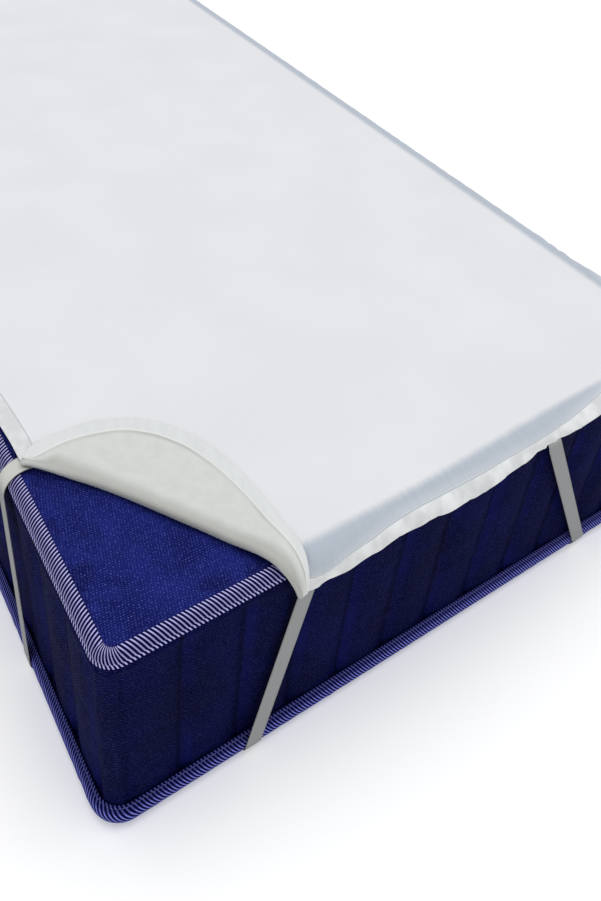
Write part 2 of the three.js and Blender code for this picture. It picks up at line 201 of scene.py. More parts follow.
# %% [markdown]
# ## The floor and the light
# The object stands in a white studio. One wide soft light hangs above it, and the white room fills the
# shadows. The top is then bright and even, the sides fall off, and the shadows under the fold and beside
# the straps are soft. The floor is a plain pale surface.

# %% Make the floor
colours = bpy.context.scene.view_settings
colours.view_transform = "Standard"
colours.look = "None"
bpy.ops.object.select_all(action="DESELECT")
FLOOR_SIZE = 30
BELOW = -1 * MM
bpy.ops.mesh.primitive_plane_add(size=FLOOR_SIZE, location=(0, 0, BELOW))
floor = bpy.context.object
floor.name = "floor"
bpy.ops.object.transform_apply(location=True, rotation=True, scale=True)
floor_finish = Finish("floor_white")
floor_finish.set(Base_Color=rgb(0.93, 0.93, 0.93), Roughness=0.9, Specular_IOR_Level=0.1)
floor_finish.set(Emission_Color=rgb(1.0, 1.0, 1.0), Emission_Strength=0.2)
floor.data.materials.append(floor_finish.material)
print("floor laid:", FLOOR_SIZE, "m wide")

# %% Hang the light
world = bpy.data.worlds.new("studio")
bpy.context.scene.world = world
world.use_nodes = True
room = world.node_tree.nodes["Background"]
room.inputs["Color"].default_value = rgb(0.97, 0.98, 1.0)
room.inputs["Strength"].default_value = 0.70


def hang_light(name, place, aim, size, watts):
    data = bpy.data.lights.new(name, "AREA")
    data.shape = "SQUARE"
    data.size = size
    data.energy = watts
    lamp = bpy.data.objects.new(name, data)
    bpy.context.scene.collection.objects.link(lamp)
    lamp.location = place
    lamp.rotation_euler = (Vector(aim) - Vector(place)).to_track_quat("-Z", "Y").to_euler()


hang_light("overhead", place=(0.5, -0.5, 7.5), aim=(0, 0, 0), size=6.0, watts=240)
print("light ready")

# %% [markdown]
# ## The mattress in section
# A length q runs down the mattress skin from where its top edge starts to turn. These are the CAD
# model's own sizes, in millimetres. All pieces that lie on the mattress are measured from this line.

# %% Repeat the mattress section
WIDTH, LENGTH, HEIGHT = 900, 2000, 300
CORNER_R, TOP_R, BOTTOM_R = 26, 20, 10
UNDER_RISE, UNDER_MARGIN = 5, 200
TOP_ARC = math.pi / 2 * TOP_R
BOTTOM_ARC = math.pi / 2 * BOTTOM_R
LOW_CENTRE = UNDER_RISE + BOTTOM_R
SIDE = HEIGHT - TOP_R - LOW_CENTRE
SIDE_END = TOP_ARC + SIDE


def clamp(t, low, high):
    return min(max(t, low), high)


def smooth(t):
    t = clamp(t, 0.0, 1.0)
    return t * t * (3 - 2 * t)


def mix(first, second, share):
    return first + (second - first) * share


def skin(q):
    """Out from the side plane, height, and the outward direction, at the length q down the skin."""
    if q < 0:
        return -TOP_R + q, HEIGHT, 0.0, 1.0
    if q < TOP_ARC:
        a = q / TOP_R
        return TOP_R * (math.sin(a) - 1), HEIGHT - TOP_R * (1 - math.cos(a)), math.sin(a), math.cos(a)
    if q < SIDE_END:
        return 0.0, HEIGHT - TOP_R - (q - TOP_ARC), 1.0, 0.0
    a = min((q - SIDE_END) / BOTTOM_R, math.pi / 2)
    beyond = max(0.0, q - SIDE_END - BOTTOM_ARC)
    inset = BOTTOM_R * (1 - math.cos(a)) + beyond
    height = LOW_CENTRE - BOTTOM_R * math.sin(a)
    if beyond > 0:
        height = UNDER_RISE * max(0.0, 1 - inset / UNDER_MARGIN)
    return -inset, height, math.cos(a), -math.sin(a)


print("skin from the top edge to the floor:", round(SIDE_END + BOTTOM_ARC), "mm")

# %% [markdown]
# ## The mattress body
# A mattress is a foam and spring block in a sewn cover. It could be a cushion simulation, but a firm
# mattress keeps its block shape, so it is modelled as by hand: a box, with its upright edges, top edge
# and bottom edge bevelled, and the underside inset and lowered. It is then cut into a fine grid, and the
# quilting is pressed in by moving points inwards, as with a sculpting brush.


# %% Prepare two ways to edit
def select_nothing():
    bpy.ops.object.select_all(action="DESELECT")


def edit(piece):
    select_nothing()
    bpy.context.view_layer.objects.active = piece
    piece.select_set(True)
    bpy.ops.object.mode_set(mode="EDIT")
    bpy.ops.mesh.select_mode(type="EDGE")
    bpy.ops.mesh.select_all(action="DESELECT")
    return bmesh.from_edit_mesh(piece.data)


def bevel_edges(piece, chosen, radius, segments):
    mesh = edit(piece)
    for edge in mesh.edges:
        edge.select = chosen(*(v.co for v in edge.verts))
    bmesh.update_edit_mesh(piece.data)
    bpy.ops.mesh.bevel(offset=radius, offset_type="OFFSET", segments=segments, affect="EDGES")
    bpy.ops.object.mode_set(mode="OBJECT")


print("edit helpers ready")

# %% Box, bevels and underside
select_nothing()
body_low = UNDER_RISE * MM
body_top = HEIGHT * MM
bpy.ops.mesh.primitive_cube_add(size=1, location=(0, 0, (body_low + body_top) / 2))
mattress = bpy.context.object
mattress.name = "mattress_body"
mattress.scale = (WIDTH * MM, LENGTH * MM, body_top - body_low)
bpy.ops.object.transform_apply(location=True, rotation=True, scale=True)
NEAR = 1e-4
bevel_edges(mattress, lambda a, b: abs(a.z - b.z) > 0.1, CORNER_R * MM, 10)
bevel_edges(mattress, lambda a, b: min(a.z, b.z) > body_top - NEAR, TOP_R * MM, 8)
bevel_edges(mattress, lambda a, b: max(a.z, b.z) < body_low + NEAR, BOTTOM_R * MM, 4)
mesh = edit(mattress)
bpy.ops.mesh.select_mode(type="FACE")
for face in mesh.faces:
    face.select = face.normal.z < -0.99
bmesh.update_edit_mesh(mattress.data)
bpy.ops.mesh.inset(thickness=(UNDER_MARGIN - BOTTOM_R) * MM, depth=0)
bpy.ops.transform.translate(value=(0, 0, -body_low))
bpy.ops.object.mode_set(mode="OBJECT")
print("mattress block:", len(mattress.data.polygons), "faces")

# %% Cut the block into a fine grid
CUT_STEP = 25
edit(mattress)
bpy.ops.mesh.select_mode(type="VERT")
for axis, low, high in ((0, -WIDTH / 2, WIDTH / 2), (1, -LENGTH / 2, LENGTH / 2), (2, 0, HEIGHT)):
    for k in range(1, round((high - low) / CUT_STEP)):
        place, direction = [0, 0, 0], [0, 0, 0]
        place[axis] = (low + k * CUT_STEP) * MM
        direction[axis] = 1
        bpy.ops.mesh.select_all(action="SELECT")
        bpy.ops.mesh.bisect(plane_co=place, plane_no=direction)
bpy.ops.mesh.select_all(action="SELECT")
bpy.ops.mesh.subdivide(number_cuts=1)
bpy.ops.object.mode_set(mode="OBJECT")
print("mattress grid:", len(mattress.data.polygons), "faces")

# %% Describe the quilting
GROOVE_PITCH = 71
FRONT_GROOVE = -366
LEFT_GROOVE = -830
GROOVE_DEPTH = 7.0
GROOVE_WIDTH = 12


def groove(along, first):
    """1 in the middle of a sewn groove, and 0 between the grooves."""
    off = (along - first + GROOVE_PITCH / 2) % GROOVE_PITCH - GROOVE_PITCH / 2
    return math.exp(-((off / GROOVE_WIDTH) ** 2))


def puckers(p, size, seed):
    """Soft uneven dents, from 0 to 1."""
    dent = noise.noise(Vector((p.x / size, p.y / size, p.z / size + seed)))
    return smooth(0.25 + 1.4 * dent)


def side_relief(p, normal):
    on_end = abs(normal.y) > abs(normal.x)
    along = p.x if on_end else p.y
    line = groove(along, FRONT_GROOVE if on_end else LEFT_GROOVE)
    clear = smooth((p.z - 22) / 20) * smooth((HEIGHT - 14 - p.z) / 14)
    clear *= smooth((max(abs(normal.x), abs(normal.y)) - 0.93) / 0.06)
    stretched = Vector((p.x, p.y, p.z * 2.2))
    return clear * (GROOVE_DEPTH * line + 1.3 * puckers(stretched, 34, 3.0))


def top_relief(p):
    edge = min(WIDTH / 2 - abs(p.x), LENGTH / 2 - abs(p.y))
    near_tape = smooth((edge - 20) / 12) * (1 - smooth((edge - 30) / 130))
    return 1.2 * puckers(p, 75, 7.0) + near_tape * 4.6 * puckers(p, 30, 11.0)


print("grooves", GROOVE_PITCH, "mm apart and", GROOVE_DEPTH, "mm deep")

# %% Move the points inwards
moved = []
for vertex in mattress.data.vertices:
    p = vertex.co / MM
    flat = Vector((vertex.normal.x, vertex.normal.y, 0))
    if p.z > HEIGHT - 1:
        p.z -= top_relief(p)
    elif flat.length > 0.7:
        p -= flat.normalized() * side_relief(p, flat.normalized())
    moved += (p * MM)[:]
mattress.data.vertices.foreach_set("co", moved)
mattress.data.update()
for polygon in mattress.data.polygons:
    polygon.use_smooth = True
print("quilting pressed in:", len(mattress.data.vertices), "points moved or kept")

# %% [markdown]
# ## The ticking
# Mattress cloth is called ticking. This one is a blue knit with fine rows of lighter knots. The knots
# are waves in two directions, each row shifted by half a knot, and a fine cloud makes some of them
# brighter than others. On the sides the cloth is darker and its knots are duller, partly as the cloth's
# own colour and partly as painted shade for upright faces. Near the top edge, and at the grooves, some
# shade and light are painted too. An image of cloth could do this too, but waves keep their size on
# every face and need no picture.

# %% Make the ticking
ticking = Finish("blue_ticking")
x, y, z = ticking.split(ticking.place())
KNOT_ROW = 0.0025
KNOT_PITCH = 0.0032


def knots(along, across):
    row = across / KNOT_ROW
    half_knot = row.maths("ROUND") * 0.5
    rows = (row * TURN).maths("COSINE")
    columns = ((along / KNOT_PITCH + half_knot) * TURN).maths("COSINE")
    return rows * 0.25 + columns * 0.25 + 0.5


print("knots", KNOT_PITCH, "m apart in rows", KNOT_ROW, "m apart")

# %% Colour the top and the sides
on_top = z.rise(0.291, 0.295)
fine = ticking.cloud(ticking.place(), 430.0, 4.0, 0.7)
uneven = (ticking.cloud(ticking.place(), 210.0, 3.0) - 0.5) * 0.0034
top_knots = knots(x + y * 0.35 + uneven, y + uneven * 0.4)
side_knots = knots(x + y + uneven, z + uneven * 0.3)
wide = ticking.cloud(ticking.place(), 26.0, 4.0)
broad = ticking.cloud(ticking.place(), 9.0, 2.0)
glint = fine.rise(0.42, 0.66)
top_mark = top_knots.rise(0.40, 0.95) * (glint * 0.9 + 0.10)
side_mark = side_knots.rise(0.45, 0.95) * (glint * 0.85 + 0.15)
top_shade = wide.rise(0.3, 0.72)
top_ground = ticking.blend(top_shade, rgb(0.0055, 0.0080, 0.085), rgb(0.0105, 0.0150, 0.145))
from_side = WIDTH / 2 * MM - x.maths("ABSOLUTE")
from_end = LENGTH / 2 * MM - y.maths("ABSOLUTE")
from_edge = from_side.maths("MINIMUM", from_end)
# Painted shade: dark patches near the top edge stand in for the shade in its puckers.
dents = ticking.cloud(ticking.place(), 36.0, 3.0).rise(0.5, 0.66) * (1 - from_edge.rise(0.03, 0.16))
pucker_shaded = ticking.blend(dents * 0.6, top_ground, rgb(0.0030, 0.0040, 0.046))
top_colour = ticking.blend(top_mark, pucker_shaded, rgb(0.066, 0.088, 0.380))
# The side colours are darker partly as the cloth's own colour and partly as painted shade, for upright
# faces that get less light.
side_shade = broad.rise(0.32, 0.68) * 0.6 + wide.rise(0.3, 0.7) * 0.4
side_ground = ticking.blend(side_shade, rgb(0.0005, 0.0008, 0.013), rgb(0.0014, 0.0022, 0.038))
side_colour_with_shade = ticking.blend(side_mark, side_ground, rgb(0.022, 0.027, 0.145))
print("ticking coloured")

# %% Paint shade and light at the grooves and finish the ticking
_, facing_y, _ = ticking.split(ticking.node("ShaderNodeNewGeometry", output=1))
on_end = facing_y.maths("ABSOLUTE").rise(0.6, 0.8)


def groove_wave(shift):
    """Waves with a crest in each sewn groove of the face, moved aside by shift."""
    end_wave = ((x - (FRONT_GROOVE + shift) * MM) / (GROOVE_PITCH * MM) * TURN).maths("COSINE")
    side_wave = ((y - (LEFT_GROOVE + shift) * MM) / (GROOVE_PITCH * MM) * TURN).maths("COSINE")
    return end_wave * on_end + side_wave * (1 - on_end)


# Painted shade and light: a dark line in each groove, and a lighter strip 9 mm beside it where the quilting
# faces the light.
LIT_SHIFT = 9
off_corner = from_side.maths("MAXIMUM", from_end).rise(0.022, 0.040)
groove_shade = groove_wave(0).rise(0.93, 0.995) * (0.4 + broad * 0.6) * off_corner
groove_highlight = groove_wave(LIT_SHIFT).rise(0.72, 0.98) * broad.rise(0.3, 0.65) * off_corner
groove_shaded = ticking.blend(groove_shade * 0.7, side_colour_with_shade, rgb(0.0004, 0.0006, 0.010))
lit_side = ticking.blend(groove_highlight * 0.42, groove_shaded, rgb(0.0055, 0.0070, 0.090))
ticking.feed("Base Color", ticking.blend(on_top, lit_side, top_colour))
ticking.feed("Roughness", 0.86 - glint * 0.18)
ticking.set(Specular_IOR_Level=0.02)
relief = ticking.blend(on_top, side_knots, top_knots)
ticking.feed("Normal", ticking.emboss(relief, 0.0005, 0.6))
mattress.data.materials.append(ticking.material)
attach(mattress, "root")
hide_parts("mattress")
print("ticking ready")

# %% [markdown]
# ## Cloth with two sides
# A tape, a strap and the sheet are all thin cloth. Each is first a surface of points, as a pattern piece
# that is laid in place. A Solidify modifier could thicken it, but a hem is thicker than the rest. So this
# helper gives it a face on each side, with a thickness at each point, and a rim along its free edges. It
# keeps the flat place of each point as a UV map for the weave and the seams.


# %% Turn a surface into a piece of cloth
def surface_normals(points, faces):
    normals = [Vector() for _ in points]
    for face in faces:
        a, b, c = (points[i] for i in face[:3])
        n = (b - a).cross(c - a)
        if len(face) == 4:
            d = points[face[3]]
            n = n + (c - a).cross(d - a)
        for i in face:
            normals[i] += n
    return [n.normalized() for n in normals]


def cloth(name, points, faces, outside, inside, charts, finishes, ring=None):
    """A closed piece of cloth. outside and inside are its thickness at each point, in mm.
    ring is the length of a tape that closes on itself, for its chart."""
    count = len(points)
    normals = surface_normals(points, faces)
    upper = [p + n * t for p, n, t in zip(points, normals, outside)]
    lower = [p - n * t for p, n, t in zip(points, normals, inside)]
    used = {(a, b) for face in faces for a, b in zip(face, face[1:] + face[:1])}
    free = sorted((a, b) for a, b in used if (b, a) not in used)
    solid = list(faces) + [tuple(count + i for i in reversed(face)) for face in faces]
    solid += [(b, a, count + a, count + b) for a, b in free]
    mesh = bpy.data.meshes.new(name)
    mesh.from_pydata([(p * MM)[:] for p in upper + lower], [], solid)
    for chart, flat in charts.items():
        layer = mesh.uv_layers.new(name=chart).data
        for polygon in mesh.polygons:
            ids = [mesh.loops[k].vertex_index % count for k in polygon.loop_indices]
            high = max(flat[i][0] for i in ids)
            for k, i in zip(polygon.loop_indices, ids):
                along = flat[i][0]
                if ring and high - along > ring / 2:
                    along += ring
                layer[k].uv = (along * MM, flat[i][1] * MM)
    for finish in finishes:
        mesh.materials.append(finish.material)
    if len(finishes) > 1:
        for polygon in mesh.polygons[len(faces):2 * len(faces)]:
            polygon.material_index = 1
    for polygon in mesh.polygons:
        polygon.use_smooth = True
    piece = bpy.data.objects.new(name, mesh)
    bpy.context.scene.collection.objects.link(piece)
    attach(piece, "root")
    return piece, upper, lower


print("cloth helper ready")

# %% [markdown]
# ## Stitches
# A seam shows as a row of short threads that dip into the cloth at both ends. A curve with a bevel would
# give a thread, but hundreds of them would be heavy, so each stitch is a small square spindle of twelve
# faces. The stitches of both tapes are one mesh, and those of the hem are another.


# %% Lay stitches along a seam
SPINDLE = ((-0.5, False, 0.7), (-0.3, True, 0), (0.3, True, 0), (0.5, False, 0.7))


def sew(name, seams, pitch, length, thick, finish):
    """Short threads along seams. A seam is a list of places and outward directions, in mm."""
    points, faces = [], []
    for seam in seams:
        left = pitch / 2
        for (a, out_a), (b, out_b) in zip(seam, seam[1:]):
            step = (b - a).length
            while left < step:
                share = left / step
                along = (b - a).normalized()
                out = out_a.lerp(out_b, share).normalized()
                across = along.cross(out)
                middle = a.lerp(b, share) + out * thick * 0.2
                first = len(points)
                for reach, open_ring, sink in SPINDLE:
                    at = middle + along * reach * length - out * sink * thick
                    corners = [across, out, -across, -out] if open_ring else [Vector()]
                    points += [at + c * thick / 2 for c in corners]
                rings = [[0] * 4, [1, 2, 3, 4], [5, 6, 7, 8], [9] * 4]
                for one, two in zip(rings, rings[1:]):
                    for k in range(4):
                        face = (one[k], two[k], two[(k + 1) % 4], one[(k + 1) % 4])
                        faces.append([first + i for i in dict.fromkeys(face)])
                left += pitch
            left -= step
    mesh = bpy.data.meshes.new(name)
    mesh.from_pydata([(p * MM)[:] for p in points], [], faces)
    mesh.materials.append(finish.material)
    mesh.update()
    piece = bpy.data.objects.new(name, mesh)
    bpy.context.scene.collection.objects.link(piece)
    edit(piece)
    bpy.ops.mesh.select_all(action="SELECT")
    bpy.ops.mesh.normals_make_consistent(inside=False)
    bpy.ops.object.mode_set(mode="OBJECT")
    for polygon in piece.data.polygons:
        polygon.use_smooth = True
    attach(piece, "root")
    print(name, len(piece.data.polygons), "faces")
    return piece


print("a stitch has", 4 * (len(SPINDLE) - 1), "faces")


# %% Spin the threads
def thread(name, colour):
    made = Finish(name)
    twist = made.cloud(made.place(), 1500.0)
    shaded = rgb(*(c * 0.8 for c in colour))
    made.feed("Base Color", made.blend(twist.rise(0.35, 0.65), shaded, rgb(*colour)))
    made.feed("Roughness", twist * 0.3 + 0.45)
    made.set(Specular_IOR_Level=0.3)
    return made


white_thread = thread("white_thread", (0.78, 0.79, 0.80))
navy_thread = thread("navy_thread", (0.30, 0.30, 0.52))
print("threads ready")

# %% [markdown]
# ## The binding tapes
# The cover's top and bottom edges are bound with a striped tape, whose stripes run slantwise over the
# edge. It covers a sewn roll: a flat one on the top edge, and a round one that stands out at the bottom.
# A tape could be a curve with a bevel, but its stripes have to follow the strip, so it is laid as rows of
# points, with the length along and across the strip as its UV map.

# %% Go round the mattress
TOP_TAPE = {"from": 3.0, "to": 21.0, "roll": 3.0, "power": 1.0, "stitch": 17.6, "slant": 0.62}
BOTTOM_TAPE = {
    "from": SIDE_END - 17, "to": SIDE_END + BOTTOM_ARC - 1, "roll": 11.0, "power": 0.8,
    "stitch": SIDE_END - 15.0, "slant": 0.8,
}
TAPE_GAP = 0.3
TAPE_EDGE = 1.0
TAPE_T = 0.9
TAPE_COLUMNS = 22
STRIPE_PITCH = 4.35
STRAIGHT_STEP = 8
CORNER_STEPS = 12


def ring_stations():
    """Places round the mattress: the centre of the round there, its direction, the length along."""
    cx, cy = WIDTH / 2 - CORNER_R, LENGTH / 2 - CORNER_R
    centres = [(cx, -cy), (cx, cy), (-cx, cy), (-cx, -cy)]
    stations, along = [], 0.0
    for corner in range(4):
        centre = Vector((*centres[corner], 0))
        after = Vector((*centres[(corner + 1) % 4], 0))
        for k in range(CORNER_STEPS):
            angle = math.radians(-90 + 90 * (corner + k / CORNER_STEPS))
            stations.append((centre, Vector((math.cos(angle), math.sin(angle), 0)), along))
            along += math.pi / 2 * CORNER_R / CORNER_STEPS
        angle = math.radians(90 * corner)
        direction = Vector((round(math.cos(angle)), round(math.sin(angle)), 0))
        steps = round((after - centre).length / STRAIGHT_STEP)
        for k in range(steps):
            stations.append((centre.lerp(after, k / steps), direction, along))
            along += (after - centre).length / steps
    return stations, along


stations, ring_length = ring_stations()
stripe_pitch = ring_length / round(ring_length / STRIPE_PITCH)
print("tape path:", round(ring_length), "mm,", len(stations), "places")


# %% Lay one tape
def tape_lift(tape, q, along):
    share = clamp((q - tape["from"]) / (tape["to"] - tape["from"]), 0.0, 1.0)
    swell = math.sin(math.pi * share ** tape["power"])
    gather = 1 + 0.05 * math.sin(along / 3.9) * noise.noise(Vector((along / 60, 0.5, q / 40)))
    pinch = math.exp(-(((q - tape["stitch"]) / 1.3) ** 2))
    lift = TAPE_GAP + TAPE_EDGE + (tape["roll"] - TAPE_EDGE) * swell * gather
    return lift - pinch * min(0.8, lift - TAPE_GAP - 0.35)


def tape_rows(tape):
    """Lengths q across the tape, closer together at its edges and its stitch line."""
    width = tape["to"] - tape["from"]
    rows = {tape["from"] + width * k / TAPE_COLUMNS for k in range(TAPE_COLUMNS + 1)}
    rows |= {tape["stitch"] + d for d in (-2.6, -1.3, 0.0, 1.3, 2.6)}
    rows |= {tape["from"] + 0.5, tape["to"] - 0.5}
    return sorted(q for q in rows if tape["from"] <= q <= tape["to"])


def lay_tape(name, tape, finish, node):
    rows = tape_rows(tape)
    points, flat = [], []
    for centre, direction, along in stations:
        for q in rows:
            out, height, n_out, n_up = skin(q)
            lift = tape_lift(tape, q, along)
            point = centre + direction * (CORNER_R + out + n_out * lift)
            points.append(point + Vector((0, 0, height + n_up * lift)))
            kink = 0.8 * smooth((q - tape["stitch"] + 0.6) / 1.2)
            flat.append((along - kink, q - rows[0]))
    across = len(rows)
    faces = []
    for i in range(len(stations)):
        j = (i + 1) % len(stations)
        for k in range(across - 1):
            faces.append((i * across + k, i * across + k + 1, j * across + k + 1, j * across + k))
    outside, inside = [0.0] * len(points), [TAPE_T] * len(points)
    piece, upper, _ = cloth(name, points, faces, outside, inside, {"tape": flat}, [finish], ring_length)
    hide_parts(node)
    on_side = (CORNER_STEPS + 4) * across
    straight = points[on_side:on_side + across]
    width = sum((b - a).length for a, b in zip(straight, straight[1:]))
    normals = surface_normals(points, faces)
    k = min(range(across), key=lambda i: abs(rows[i] - tape["stitch"]))
    seam = [(upper[i * across + k], normals[i * across + k]) for i in range(len(stations))]
    print(name, "is", round(ring_length), "mm long and", round(width, 1), "mm wide")
    return seam + seam[:1]


print("tape section ready")

# %% [markdown]
# ## The striped cloth and its seam
# The stripes are one wave along the tape, moved along by the place across it, so they slant. Over part
# of the roll the light yarn is darkened as painted shade, where the roll turns from the light. The weave
# is two fine waves that cross at a right angle. Both tapes share this recipe, with other colours.


# %% Make the striped tape cloth
def striped(name, slant, light, dark, shade_from, shade_to, shade_strength):
    """Slanting stripes of light and dark yarn, with painted shade on the light yarn from one length across
    to another.
    """
    made = Finish(name)
    along, across, _ = made.split(made.chart("tape"))
    phase = (along - across * slant) / (stripe_pitch * MM)
    wave = (phase * TURN).maths("COSINE")
    light_share = wave.rise(0.1, 0.7)
    yarn = ((along + across * slant) / 0.00062 * TURN).sine() * 0.5 + 0.5
    cross = ((across - along * slant) / 0.00055 * TURN).sine() * 0.5 + 0.5
    dirt = made.cloud(made.vector(along * 60, across * 220), 4.0, 3.0)
    # Painted shade: the light yarn is darkened where the roll turns away from the light.
    middle = across.bump_from(shade_from * MM, (shade_from + 5) * MM, (shade_to - 3) * MM, shade_to * MM)
    tone = light_share * (1 - middle * shade_strength) * (0.86 + dirt * 0.28)
    made.feed("Base Color", made.blend(tone, rgb(*dark), rgb(*light)))
    made.feed("Roughness", 0.62 + yarn * 0.2)
    made.set(Specular_IOR_Level=0.04)
    height = yarn * 0.4 + cross * 0.4 + light_share * 0.5
    made.feed("Normal", made.emboss(height, 0.00035, 0.7))
    return made


print("stripes", round(stripe_pitch, 3), "mm apart")

# %% Lay both tapes and sew them
LIGHT_YARN = (0.52, 0.50, 0.88)
# The bottom tape's light yarn has a darker colour as painted shade, for the lower edge that gets less
# light.
SHADED_LIGHT_YARN = (0.20, 0.215, 0.72)
DARK_YARN = (0.0012, 0.0010, 0.040)
top_stripes = striped(
    "striped_tape_top", TOP_TAPE["slant"], LIGHT_YARN, DARK_YARN, shade_from=3, shade_to=15, shade_strength=0.35,
)
low_stripes = striped(
    "striped_tape_bottom", BOTTOM_TAPE["slant"], SHADED_LIGHT_YARN, DARK_YARN, shade_from=-9, shade_to=7, shade_strength=0.6,
)
top_seam = lay_tape("binding_top", TOP_TAPE, top_stripes, "tape_top")
bottom_seam = lay_tape("binding_bottom", BOTTOM_TAPE, low_stripes, "tape_bottom")
sew(
    "tape_stitches", [top_seam, bottom_seam], pitch=4.4, length=2.6, thick=0.35,
    finish=navy_thread,
)

# %% [markdown]
# ## The protector sheet: how it lies
# The sheet is cut flat, hemmed all round, and its corners are cut round between the straps. A cloth
# simulation could drop it on the mattress, but the photograph shows one exact fold. So each point of the
# flat cut is laid by formula, as in the CAD model: flat on top, round over the edge, and hanging. The
# near left corner is rolled back over a soft fold, and its flap lies on the sheet underside up.

# %% Repeat the sheet's cut and fold
HEM = 20
REST = 301.7
DRAPE_R = 27.5
DRAPE_ARC = math.pi / 2 * DRAPE_R
RAMP = 45
FLARE, FLARE_DEPTH, WAVE = 7, 32, 0.3
CUT = {"left": 464, "right": 480, "front": 1037, "back": 1045}
FRONT_RISES = [{"rise": 14, "from": -230, "over": 150}, {"rise": 12, "from": 0, "over": 150}]
LEFT_PULL, LEFT_PULL_LENGTH = 35, 420
DRAWN_DOWN, DRAWN_AT, DRAWN_REACH = 6, -214, 14
CORNER_CUT = {"end": 285, "side": 290, "full_end": 0.58, "full_side": 0.62}
FOLD_A, FOLD_B = Vector((-428, -745)), Vector((-237, -1037))
FOLD_BOW, FOLD_R, FOLD_END_SHARE = 19, 6, 0.6
FLAP_CLEAR, FLAP_SETTLE = 2.9, 48
FLAP_ARC = [Vector((0, 0)), Vector((-26, 37)), Vector((69, 252)), Vector((347, 10))]
TURN_X, TURN_Y, TURN_CORNER = WIDTH / 2 - TOP_R, LENGTH / 2 - TOP_R, CORNER_R - TOP_R
STRAPS = [
    {"name": "near_left", "x": -1, "y": -1, "end": 229, "end_under": 171, "end_top": 28,
     "side": 259, "side_under": 215, "side_top": -12},
    {"name": "near_right", "x": 1, "y": -1, "end": 321, "end_under": 173, "end_top": 8,
     "side": 280, "side_under": 190, "side_top": 32},
    {"name": "far_left", "x": -1, "y": 1, "end": 270, "end_under": 165, "end_top": 40,
     "side": 280, "side_under": 190, "side_top": 18},
    {"name": "far_right", "x": 1, "y": 1, "end": 270, "end_under": 165, "end_top": 40,
     "side": 280, "side_under": 190, "side_top": 32},
]


def from_turn(u, v):
    """The length past the line where the sheet turns down, the nearest place on it, and outward."""
    cx = clamp(u, -(TURN_X - TURN_CORNER), TURN_X - TURN_CORNER)
    cy = clamp(v, -(TURN_Y - TURN_CORNER), TURN_Y - TURN_CORNER)
    dx, dy = u - cx, v - cy
    reach = math.hypot(dx, dy)
    if reach < 1e-9:
        return -min(TURN_X - abs(u), TURN_Y - abs(v)), u, v, 0.0, 0.0
    ox, oy = dx / reach, dy / reach
    return reach - TURN_CORNER, cx + ox * TURN_CORNER, cy + oy * TURN_CORNER, ox, oy


print("the sheet turns down", TOP_R, "mm inside the sides")


# %% Drape a point and find the fold
def drape(u, v):
    """Where a point of the flat sheet comes to lie."""
    q, fx, fy, ox, oy = from_turn(u, v)
    if q <= 0:
        return Vector((u, v, mix(REST, HEIGHT - TOP_R + DRAPE_R, smooth(1 + q / RAMP))))
    a = min(q / DRAPE_R, math.pi / 2)
    reach = DRAPE_R * math.sin(a)
    z = HEIGHT - TOP_R + DRAPE_R * math.cos(a) - max(0.0, q - DRAPE_ARC)
    return Vector((fx + ox * reach, fy + oy * reach, z))


def drape_normal(u, v):
    step = 0.5
    along_u = drape(u + step, v) - drape(u - step, v)
    along_v = drape(u, v + step) - drape(u, v - step)
    return along_u.cross(along_v).normalized()


fold_length = (FOLD_B - FOLD_A).length
fold_along = (FOLD_B - FOLD_A).normalized()
fold_away = Vector((-fold_along.y, fold_along.x))


def on_chord(s, away):
    return FOLD_A + fold_along * s + fold_away * away


def bow(s):
    return FOLD_BOW * (1 - abs(2 * s / fold_length - 1) ** 3)


def roll_radius(s):
    return FOLD_R * mix(FOLD_END_SHARE, 1, math.sin(math.pi * s / fold_length))


def bezier(curve, t):
    a, b, c, d = curve
    return a * (1 - t) ** 3 + b * 3 * t * (1 - t) ** 2 + c * 3 * t * t * (1 - t) + d * t ** 3


print("the fold is", round(fold_length), "mm long")


# %% Follow the hem round the sheet
def left_hem(v):
    return -CUT["left"] + LEFT_PULL * (1 - smooth((v - FOLD_A.y) / LEFT_PULL_LENGTH))


def front_hem(u):
    """The front hem line: it rises in two places, and the near left strap draws a point down."""
    at_strap = DRAWN_DOWN * math.exp(-(((u - DRAWN_AT) / DRAWN_REACH) ** 2))
    rises = sum(r["rise"] * smooth((u - r["from"]) / r["over"]) for r in FRONT_RISES)
    return -CUT["front"] + rises - at_strap


def corner_cut(x, y, side_at):
    end_at = -front_hem(WIDTH / 2 - CORNER_CUT["end"]) if y < 0 else CUT["back"]
    start = Vector((x * (WIDTH / 2 - CORNER_CUT["end"]), y * end_at))
    stop = Vector((x * side_at, y * (LENGTH / 2 - CORNER_CUT["side"])))
    corner = Vector((stop.x, start.y))
    from_start = start.lerp(corner, CORNER_CUT["full_end"])
    from_stop = stop.lerp(corner, CORNER_CUT["full_side"])
    return [start, from_start, from_stop, stop]


print("hem lines described")

# %% List the points of the edge
FOLD_STEPS = 96
CROWDING = 1.5
fold_stations = [fold_length * (1 - (1 - i / FOLD_STEPS) ** CROWDING) for i in range(FOLD_STEPS + 1)]


